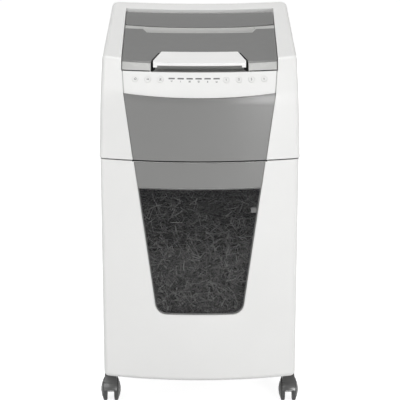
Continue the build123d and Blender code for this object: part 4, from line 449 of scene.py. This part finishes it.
outwards, upwards = Vector((0, -1, 0)), Vector((0, 0, 1))
front_strips, front_half, front_foot, front_brow = 3000, 0.15, heap_foot + 0.1, 0.002
front_depths, front_widths, front_spread = (0.05, 1.0), (0.0012, 0.0022), 0.5
for strip in range(front_strips):
    x = draws.uniform(-front_half, front_half)
    z = draws.uniform(front_foot, heap_height(x, heap_front(x)) - front_brow)
    depth = crust * draws.uniform(*front_depths)
    width = draws.uniform(*front_widths)
    strip_on(heap, Vector((x, heap_front(x) + depth, z)), outwards, front_spread, width)
top_strips, top_half, top_front, top_rear = 3400, 0.165, 0.006, 0.012
top_depths, top_widths, top_spread = (0.2, 1.0), (0.0014, 0.0026), 0.3
for strip in range(top_strips):
    x = draws.uniform(-top_half, top_half)
    y = draws.uniform(heap_front(x) + top_front, heap_rear - top_rear)
    z = heap_height(x, y) - crust * draws.uniform(*top_depths)
    width = draws.uniform(*top_widths)
    strip_on(heap, Vector((x, y, z)), upwards, top_spread, width)
clinging_strips, cling_top, cling_half, cling_thinning = 230, 0.482, 0.118, 1.4
cling_depths, cling_widths, cling_spread = (0.0008, 0.012), (0.0006, 0.0013), 0.2
for strip in range(clinging_strips):
    x = draws.uniform(-cling_half, cling_half)
    foot = heap_height(x, heap_front(x))
    z = foot + (cling_top - foot) * draws.random() ** cling_thinning
    y = heap_front(x) + draws.uniform(*cling_depths)
    width = draws.uniform(*cling_widths)
    strip_on(heap, Vector((x, y, z)), outwards, cling_spread, width)

shred_paper, wire = new_finish("shred_paper")
place = wire.node("ShaderNodeTexCoord", {}, {}, "Object")
each = wire.node("ShaderNodeNewGeometry", {}, {}, "Random Per Island")
fibre = wire.node("ShaderNodeTexNoise", {}, {"Vector": place, "Scale": 900.0, "Detail": 3.0})
printing = wire.node("ShaderNodeTexNoise", {}, {"Vector": place, "Scale": 420.0, "Detail": 0.0})
blank_cover, blank_share, ink_strength = 0.62, 0.55, 0.6
inked = (printing > blank_cover) * (each > blank_share) * ink_strength
sheet_tone = wire.mix(each * each, (0.2, 0.2, 0.195, 1), (0.95, 0.95, 0.93, 1))
relief = wire.node("ShaderNodeBump", {}, {"Height": fibre, "Strength": 0.2, "Distance": 0.0002})
settle(shred_paper, wire, {
    "Base Color": wire.mix(inked, sheet_tone, (0.12, 0.12, 0.13, 1)),
    "Roughness": 0.75 + 0.15 * fibre,
    "Normal": relief,
})
shred_heap = link("shred_heap", heap, shred_paper, "drawer")
# The heap's core is painted dark as shade deep inside the heap, darkest along the gaps between its
# cells.
paper_core_shade, wire = new_finish("paper_core_shade")
place = wire.node("ShaderNodeTexCoord", {}, {}, "Object")
edge_gap = {"feature": "DISTANCE_TO_EDGE"}
edges = wire.node("ShaderNodeTexVoronoi", edge_gap, {"Vector": place, "Scale": 180.0})
settle(paper_core_shade, wire, {
    "Base Color": wire.mix(edges * 4.0, (0.03, 0.03, 0.03, 1), (0.16, 0.16, 0.155, 1)),
    "Roughness": 0.9 - 0.1 * edges,
})
shred_heap.data.materials.append(paper_core_shade)
across, along, up = core_cells
core_faces = 2 * (across * along + along * up + up * across)
for face in shred_heap.data.polygons[:core_faces]:
    face.material_index = 1
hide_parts("paper_shreds")


# Cutting block: two fluted steel cutters in plated side plates, with tie rods, bronze bearings
# and steel combs that keep the paper out of the gaps between the discs. A film of oil dulls it.
oiled_steel = steel("oiled_steel", (0.42, 0.42, 0.42), 0.26, 30.0, 0.2)
bronze = steel("sintered_bronze", (0.45, 0.3, 0.14), 0.4, 10.0)
paint(black_moulding, "head_base")
paint(oiled_steel, "cutter_front", "cutter_rear", "stripper_combs", "sync_gear_front", "sync_gear_rear")
paint(plated_sheet, "cutter_side_plates")
paint(bright_steel, "frame_rods", "motor_pinion")
paint(bronze, "shaft_bearings")


# Drive: nylon gears between the motor and the cutters, and a motor in a steel can.
# The feed rollers are rubber tyres pushed onto steel shafts, each driven by a nylon gear.
nylon_ivory = (0.62, 0.6, 0.52)
nylon = moulded("nylon", nylon_ivory, 0.36, 0.1, 0.5)
paint(nylon, "drive_gear", "reduction_gear", "idler_gear_front", "idler_gear_rear")
paint(plated_sheet, "motor")
shaft_radius, tyre_end_x = 0.0045, 0.134
for name in ("feed_roller_front", "feed_roller_rear"):
    low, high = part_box(name)
    finish, wire = new_finish(name + "_finish")
    place = wire.node("ShaderNodeTexCoord", {}, {}, "Object")
    rubber = axis_distance(wire, place, (low.y + high.y) / 2, (low.z + high.z) / 2) > shaft_radius
    geared = wire.node("ShaderNodeSeparateXYZ", {}, {"Vector": place}, "X") > tyre_end_x
    worn = wire.node("ShaderNodeTexNoise", {}, {"Vector": place, "Scale": 300.0, "Detail": 5.0})
    tyre = wire.mix(worn, (0.03, 0.03, 0.03, 1), (0.06, 0.06, 0.058, 1))
    tyre = wire.mix(geared, tyre, toned(nylon_ivory, 1.0))
    grip = wire.node("ShaderNodeBump", {}, {"Height": worn, "Strength": 0.35, "Distance": 0.0003})
    paint(settle(finish, wire, {
        "Base Color": wire.mix(rubber, (0.55, 0.55, 0.56, 1), tyre),
        "Metallic": 1 - rubber,
        "Roughness": 0.28 + 0.4 * rubber,
        "Normal": grip,
    }), name)


# Electronics: a power board on posts beside the motor, and a narrow board behind the control band.
# Both are green laminate with etched tracks; the power board's transformer and capacitor are black.
low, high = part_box("power_board")
board_rise, headroom, track_width = 0.0078, 0.001, 0.06
board_top, transformer_top = low.z + board_rise, high.z + headroom
board, wire = new_finish("green_laminate")
place = wire.node("ShaderNodeTexCoord", {}, {}, "Object")
tracks = wire.node("ShaderNodeTexVoronoi", edge_gap, {"Vector": place, "Scale": 260.0})
copper = tracks < track_width
laminate = wire.mix(copper, (0.012, 0.09, 0.04, 1), (0.03, 0.16, 0.07, 1))
height = wire.node("ShaderNodeSeparateXYZ", {}, {"Vector": place}, "Z")
standing = (height > board_top) * (height < transformer_top)
settle(board, wire, {
    "Base Color": wire.mix(standing, laminate, (0.02, 0.02, 0.021, 1)),
    "Roughness": 0.32 + 0.1 * copper,
})
paint(board, "control_board", "power_board")
paint(black_moulding, "drawer_switch", "lid_lock")


# Head shell: one white moulding with the sloping dished roof, the rails beside the lid and the
# rear rim. Cooling slots are cut through its back, and the grey fascia clips into its open front.
paint(white_moulding, "head_shell")
ease(0.0008, "head_shell")
grey_satin = moulded("grey_satin", band_tone, 0.3, 0.25, 0.5)
paint(grey_satin, "front_fascia")
ease(0.0004, "front_fascia")


# Control panel: a white strip in the leaning band with seven round keys and six lamp bars.
# The keys stand just proud of it; their signs and the small lamp signs are printed in grey ink.
panel_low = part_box("control_panel")[0]
panel_edge_low, panel_edge_high, panel_edge_rise = 0.1510, 0.1545, 0.0415
shade_width, deepest_shade = 0.002, 0.6


def in_corner(wire, x, y, z):
    """Faint shade where the panel runs in under the rails beside it."""
    edge_slope = (panel_edge_high - panel_edge_low) / panel_edge_rise
    edge = panel_edge_low + (z - panel_low.z) * edge_slope
    depth = 1.0 - (edge - wire.maths("ABSOLUTE", x, 0.0)) * (1 / shade_width)
    return wire.maths("MINIMUM", deepest_shade, wire.maths("MAXIMUM", 0.0, depth))


panel_white = moulded("panel_white", shell_white, 0.42, 0.2, 0.3, (0.25, 0.25, 0.25), in_corner)
paint(panel_white, "control_panel")
key_white = moulded("key_white", (0.76, 0.76, 0.75), 0.36, 0.1, 0.4)
key_names = ("power", "mode", "reverse", "one", "two", "three", "four")
paint(key_white, *["key_" + name for name in key_names])
ease(0.0003, *["key_" + name for name in key_names])
lamp_smoke = moulded("lamp_smoke", (0.2, 0.2, 0.2), 0.2, 0.05, 0.5)
paint(lamp_smoke, "status_lenses")

band_lean = math.radians(26.5)
bow_radius, band_start_z, panel_sink = 0.756, 0.6883, 0.0032


def on_band(x, z, rise):
    """Place on the panel: X along it, Y up its slope, Z outwards, raised by rise."""
    start = band_start_z - panel_sink * math.tan(band_lean / 2)
    radius = bow_radius - panel_sink - (z - start) * math.tan(band_lean)
    turn = math.asin(x / radius)
    level = Vector((math.sin(turn), -math.cos(turn), 0))
    out = level * math.cos(band_lean) + Vector((0, 0, math.sin(band_lean)))
    along = Vector((math.cos(turn), math.sin(turn), 0))
    spot = Vector((x, bow_centre_y - radius * math.cos(turn), z)) + out * rise
    rows = Matrix((along, out.cross(along), out)).transposed().to_4x4()
    return Matrix.Translation(spot) @ rows


def stroke(mesh, place, points, width, depth):
    """A raised line of even width along flat points."""
    flat = [Vector(point) for point in points]
    rails = []
    for index, point in enumerate(flat):
        before, after = flat[max(index - 1, 0)], flat[min(index + 1, len(flat) - 1)]
        heading = (after - before).normalized()
        side = Vector((-heading.y, heading.x)) * (width / 2)
        ring = []
        for across, height in ((1, 0), (-1, 0), (-1, depth), (1, depth)):
            spot = point + side * across
            ring.append(mesh.verts.new(place @ Vector((spot.x, spot.y, height))))
        rails.append(ring)
    for near, far in zip(rails, rails[1:]):
        for edge in range(4):
            ahead = (edge + 1) % 4
            mesh.faces.new((near[edge], near[ahead], far[ahead], far[edge]))
    mesh.faces.new(list(reversed(rails[0])))
    mesh.faces.new(rails[-1])


def arc(radius, start, end, steps, centre=(0, 0)):
    """Points along a circle, angles in degrees."""
    angles = [math.radians(start + (end - start) * step / steps) for step in range(steps + 1)]
    return [(centre[0] + radius * math.cos(a), centre[1] + radius * math.sin(a)) for a in angles]


mm = 0.001


def scaled(points):
    """Points of a sign, from millimetres."""
    return [(x * mm, y * mm) for x, y in points]


key_signs = {
    "power": [arc(2.0, 120, 420, 24), [(0, 0.5), (0, 2.7)]],
    "mode": [[(-1.7, -1.9), (-1.7, 1.9)], [(1.7, -1.9), (1.7, 1.9)], [(-1.7, 0), (1.7, 0)]],
    "reverse": [
        [(-1.8, -0.9), (0, 0.9), (1.8, -0.9)], [(-1.8, -2.4), (0, -0.6), (1.8, -2.4)],
        [(-1.8, 2.1), (1.8, 2.1)],
    ],
    "one": [[(-0.9, 1.2), (0.1, 2.0), (0.1, -2.0)]],
    "two": [arc(1.15, 165, -30, 12, (0, 0.85)) + [(-1.2, -1.95), (1.3, -1.95)]],
    "three": [arc(1.0, 150, -90, 12, (0, 1.0)), arc(1.1, 90, -150, 12, (0, -0.95))],
    "four": [[(0.6, -2.0), (0.6, 2.0), (-1.35, -0.8), (1.35, -0.8)]],
}
grey_ink = moulded("grey_ink", (0.10, 0.10, 0.10), 0.6, 0.05)
ink_depth, key_stroke, lamp_stroke = 0.12 * mm, 0.8 * mm, 0.7 * mm
ink_sink = ink_depth / 3
key_z, key_proud = 0.7187, 0.0004
for name in key_names:
    low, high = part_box("key_" + name)
    place = on_band((low.x + high.x) / 2, key_z, key_proud - ink_sink)
    mesh = bmesh.new()
    for line in key_signs[name]:
        stroke(mesh, place, scaled(line), key_stroke, ink_depth)
    link("key_sign_" + name, mesh, grey_ink, name + "_button")

lamp_signs = [
    [[(-1.8, 1.2), (1.8, 1.2), (0, -1.6), (-1.8, 1.2)]],
    [[(0, -1.6), (0, 0.5)], [(0, 1.3), (0, 1.8)]],
    [[(-2.2, -1.2), (2.2, -1.2)], [(-2.2, 0), (2.2, 0)], [(-2.2, 1.2), (2.2, 1.2)]],
    [
        [(-2.0, 1.4), (2.0, 1.4)], [(-1.5, 0.6), (-1.2, -1.6), (1.2, -1.6), (1.5, 0.6)],
        [(0, 0.4), (0, -1.0)],
    ],
    [arc(0.9, 0, 360, 14, (0, -0.8)), [(0, 0.2), (0, 1.8)]],
    [[(-1.9, 0.8), (0, -1.0), (1.9, 0.8)], [(-1.9, -1.6), (1.9, -1.6)]],
]
lamp_low, lamp_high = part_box("status_lenses")
lamp_half, lamp_sign_z = 0.0062, 0.7158
lamp_step = (lamp_high.x - lamp_low.x - 2 * lamp_half) / (len(lamp_signs) - 1)
mesh = bmesh.new()
for index, lines in enumerate(lamp_signs):
    place = on_band(lamp_low.x + lamp_half + lamp_step * index, lamp_sign_z, -ink_sink)
    for line in lines:
        stroke(mesh, place, scaled(line), lamp_stroke, ink_depth)
link("lamp_signs", mesh, grey_ink, "cabinet")


# Stack tray: a dark dished deck with a deep well for the paper stack over the feed rollers.
# Low ribs on the well's floor keep sheets from sticking to it.
paint(black_moulding, "feed_tray")
ease(0.0006, "feed_tray")
well_floor, rib_width, rib_rise, rib_root = 0.700, 0.003, 0.0015, 0.0003
rib_columns, rib_spans = (-0.066, -0.022, 0.022, 0.066), ((-0.130, 0.008), (0.040, 0.158))
place = Matrix.Translation((0, 0, well_floor - rib_root))
mesh = bmesh.new()
for x in rib_columns:
    for front, rear in rib_spans:
        stroke(mesh, place, [(x, front), (x, rear)], rib_width, rib_rise + rib_root)
link("tray_ribs", mesh, black_moulding, "cabinet")


# Lid: a pale frame that shows as the slanting front lip and the strip at the slot, with two grey
# sheets glued on it and the pale funnel of the manual slot let in between them. It turns on two pins.
flap_rear_y, flap_rear_half = -0.134, 0.0773
flap_shoulder_y, flap_shoulder_half = -0.197, 0.093
groove_width, groove_flare, groove_end = 0.0048, 0.0016, 0.0004
shoulder_reach = 0.007
pocket_back_y, pocket_rim_z, pocket_shade = -0.1815, 0.7445, 0.3


def in_groove_shade(wire, x, y, z):
    """Painted shade: black on the groove's walls beside the handle's slanting sides and ends."""
    slope = (flap_shoulder_half - flap_rear_half) / (flap_rear_y - flap_shoulder_y)
    edge = wire.maths("MINIMUM", flap_rear_half + (flap_rear_y - y) * slope, flap_shoulder_half)
    beside = wire.maths("ABSOLUTE", x, 0.0) - edge
    width = groove_width + groove_flare * (y > flap_shoulder_y + shoulder_reach)
    return (beside > 0.0) * (beside < width) * (y < flap_rear_y + groove_end)


def in_pocket_shade(wire, x, y, z):
    """Painted shade in the groove, and lighter painted shade in the finger pocket under the handle's
    lip.
    """
    under_flap = wire.maths("ABSOLUTE", x, 0.0) < flap_shoulder_half
    inside = under_flap * (y < pocket_back_y) * (z < pocket_rim_z)
    return in_groove_shade(wire, x, y, z) + pocket_shade * inside


# The frame and the front cover are painted black as shade on the groove's walls beside the handle.
pale_tone, cover_tone, groove_shade_black = (0.50, 0.50, 0.49), (0.21, 0.21, 0.207), (0.012, 0.012, 0.012)
# The frame's finger pocket under the handle's lip is darkened as painted shade.
frame_pale = moulded("frame_pale", pale_tone, 0.42, 0.2, 0.3, groove_shade_black, in_pocket_shade)
paint(frame_pale, "lid_frame")
pale_moulding = moulded("pale_moulding", pale_tone, 0.42, 0.2)
paint(pale_moulding, "slot_throat")
lid_grey = moulded("lid_grey", cover_tone, 0.4, 0.25, 0.4)
cover_grey = moulded("cover_grey", cover_tone, 0.4, 0.25, 0.4, groove_shade_black, in_groove_shade)
paint(lid_grey, "lid_rear_cover")
paint(cover_grey, "lid_front_cover")
ease(0.0006, "lid_frame", "lid_rear_cover", "lid_front_cover")
paint(bright_steel, "lid_hinge_pins", "lid_striker")


# Handle: a white flap with a drop lip for the fingers, on two lugs that turn in the lid's frame.
# It is moulded like the head, and hands have polished it a little smoother.
handle_white = moulded("handle_white", (0.90, 0.90, 0.89), 0.34, 0.12, 0.4)
paint(handle_white, "lid_handle")
ease(0.0012, "lid_handle")


# Mains inlet: a black moulded socket module snapped into the back wall, with three plated pins in
# its well. A rocker switch of the same plastic tips on a pin in the bay beside the socket.
low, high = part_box("mains_inlet")
socket_inset, socket_depth = 0.016, 0.0135
socket_x, socket_z, socket_floor_y = low.x + socket_inset, (low.z + high.z) / 2, high.y - socket_depth
socket_half_width, socket_half_height = 0.0105, 0.0075


def on_pins(wire, x, y, z):
    """The pins are all that stands inside the socket's well."""
    beside = wire.maths("ABSOLUTE", x - socket_x, 0.0)
    above = wire.maths("ABSOLUTE", z - socket_z, 0.0)
    return (beside < socket_half_width) * (above < socket_half_height) * (y > socket_floor_y)


inlet_black = moulded("inlet_black", black_tone, 0.55, 0.5, 0.3, (0.5, 0.5, 0.48), on_pins)
paint(inlet_black, "mains_inlet")
paint(black_moulding, "mains_switch")
ease(0.0005, "mains_inlet", "mains_switch")


# Studio: a pale floor that fills the background, broad soft lights from the upper left and from
# above, low panels beside the camera, weak fills at both sides and the back, and the camera itself,
# in front of the machine and a little above it.
floor_reach = 40.0
floor_mesh = bpy.data.meshes.new("studio_floor")
floor_corners = [(-1, -1), (1, -1), (1, 1), (-1, 1)]
floor_points = [(x * floor_reach, y * floor_reach, 0) for x, y in floor_corners]
floor_mesh.from_pydata(floor_points, [], [(0, 1, 2, 3)])
studio_floor = bpy.data.objects.new("studio_floor", floor_mesh)
bpy.context.scene.collection.objects.link(studio_floor)
floor_white, wire = new_finish("floor_white")
seen = wire.node("ShaderNodeLightPath", {}, {}, "Is Camera Ray")
mirrored = wire.node("ShaderNodeLightPath", {}, {}, "Is Glossy Ray")
passed = wire.node("ShaderNodeLightPath", {}, {}, "Is Transmission Ray")
bare = wire.maths("MAXIMUM", seen, wire.maths("MAXIMUM", mirrored, passed))
settle(floor_white, wire, {
    "Base Color": (0.55, 0.55, 0.55, 1),
    "Roughness": 0.9,
    "Specular IOR Level": 0.0,
    "Emission Color": wire.mix(bare, (0, 0, 0, 1), (0.88, 0.88, 0.88, 1)),
    "Emission Strength": 1.0,
})
floor_mesh.materials.append(floor_white)

lamps = (
    ("key_light", (-1.7, -2.7, 3.3), 2.4, 50.0),
    ("top_light", (0.0, 0.4, 3.2), 2.0, 46.0),
    ("right_panel", (1.15, -2.3, 0.75), 0.9, 30.0),
    ("left_panel", (-1.3, -2.2, 0.7), 0.9, 2.5),
    ("left_side", (-2.2, -0.7, 0.8), 1.0, 10.0),
    ("right_side", (2.2, 0.2, 0.8), 1.0, 8.0),
    ("rear_fill", (0.6, 3.2, 0.9), 1.6, 28.0),
)
aim = Vector((0, 0, 0.42))
for name, spot, size, power in lamps:
    lamp_data = bpy.data.lights.new(name, "AREA")
    lamp_data.size = size
    lamp_data.energy = power
    lamp = bpy.data.objects.new(name, lamp_data)
    lamp.location = spot
    lamp.rotation_euler = (aim - Vector(spot)).to_track_quat("-Z", "Y").to_euler()
    lamp.visible_glossy = name not in ("right_side", "rear_fill")
    bpy.context.scene.collection.objects.link(lamp)

world = bpy.data.worlds.new("studio_air")
bpy.context.scene.world = world
world.use_nodes = True
world.node_tree.nodes["Background"].inputs["Color"].default_value = (1, 1, 1, 1)
world.node_tree.nodes["Background"].inputs["Strength"].default_value = 0.16

camera_tilt = math.radians(17.17)
camera_distance, camera_height = 3.5275, 0.3995
camera_data = bpy.data.cameras.new("camera")
camera_data.sensor_width = 36.0
camera_data.lens = 145.84
camera_data.shift_x = 0.001
camera = bpy.data.objects.new("camera", camera_data)
camera_back = camera_distance * math.cos(camera_tilt)
camera_up = camera_distance * math.sin(camera_tilt)
camera.location = (0, -camera_back, camera_height + camera_up)
camera.rotation_euler = (math.pi / 2 - camera_tilt, 0, 0)
bpy.context.scene.collection.objects.link(camera)
bpy.context.scene.camera = camera
bpy.context.scene.view_settings.view_transform = "Standard"
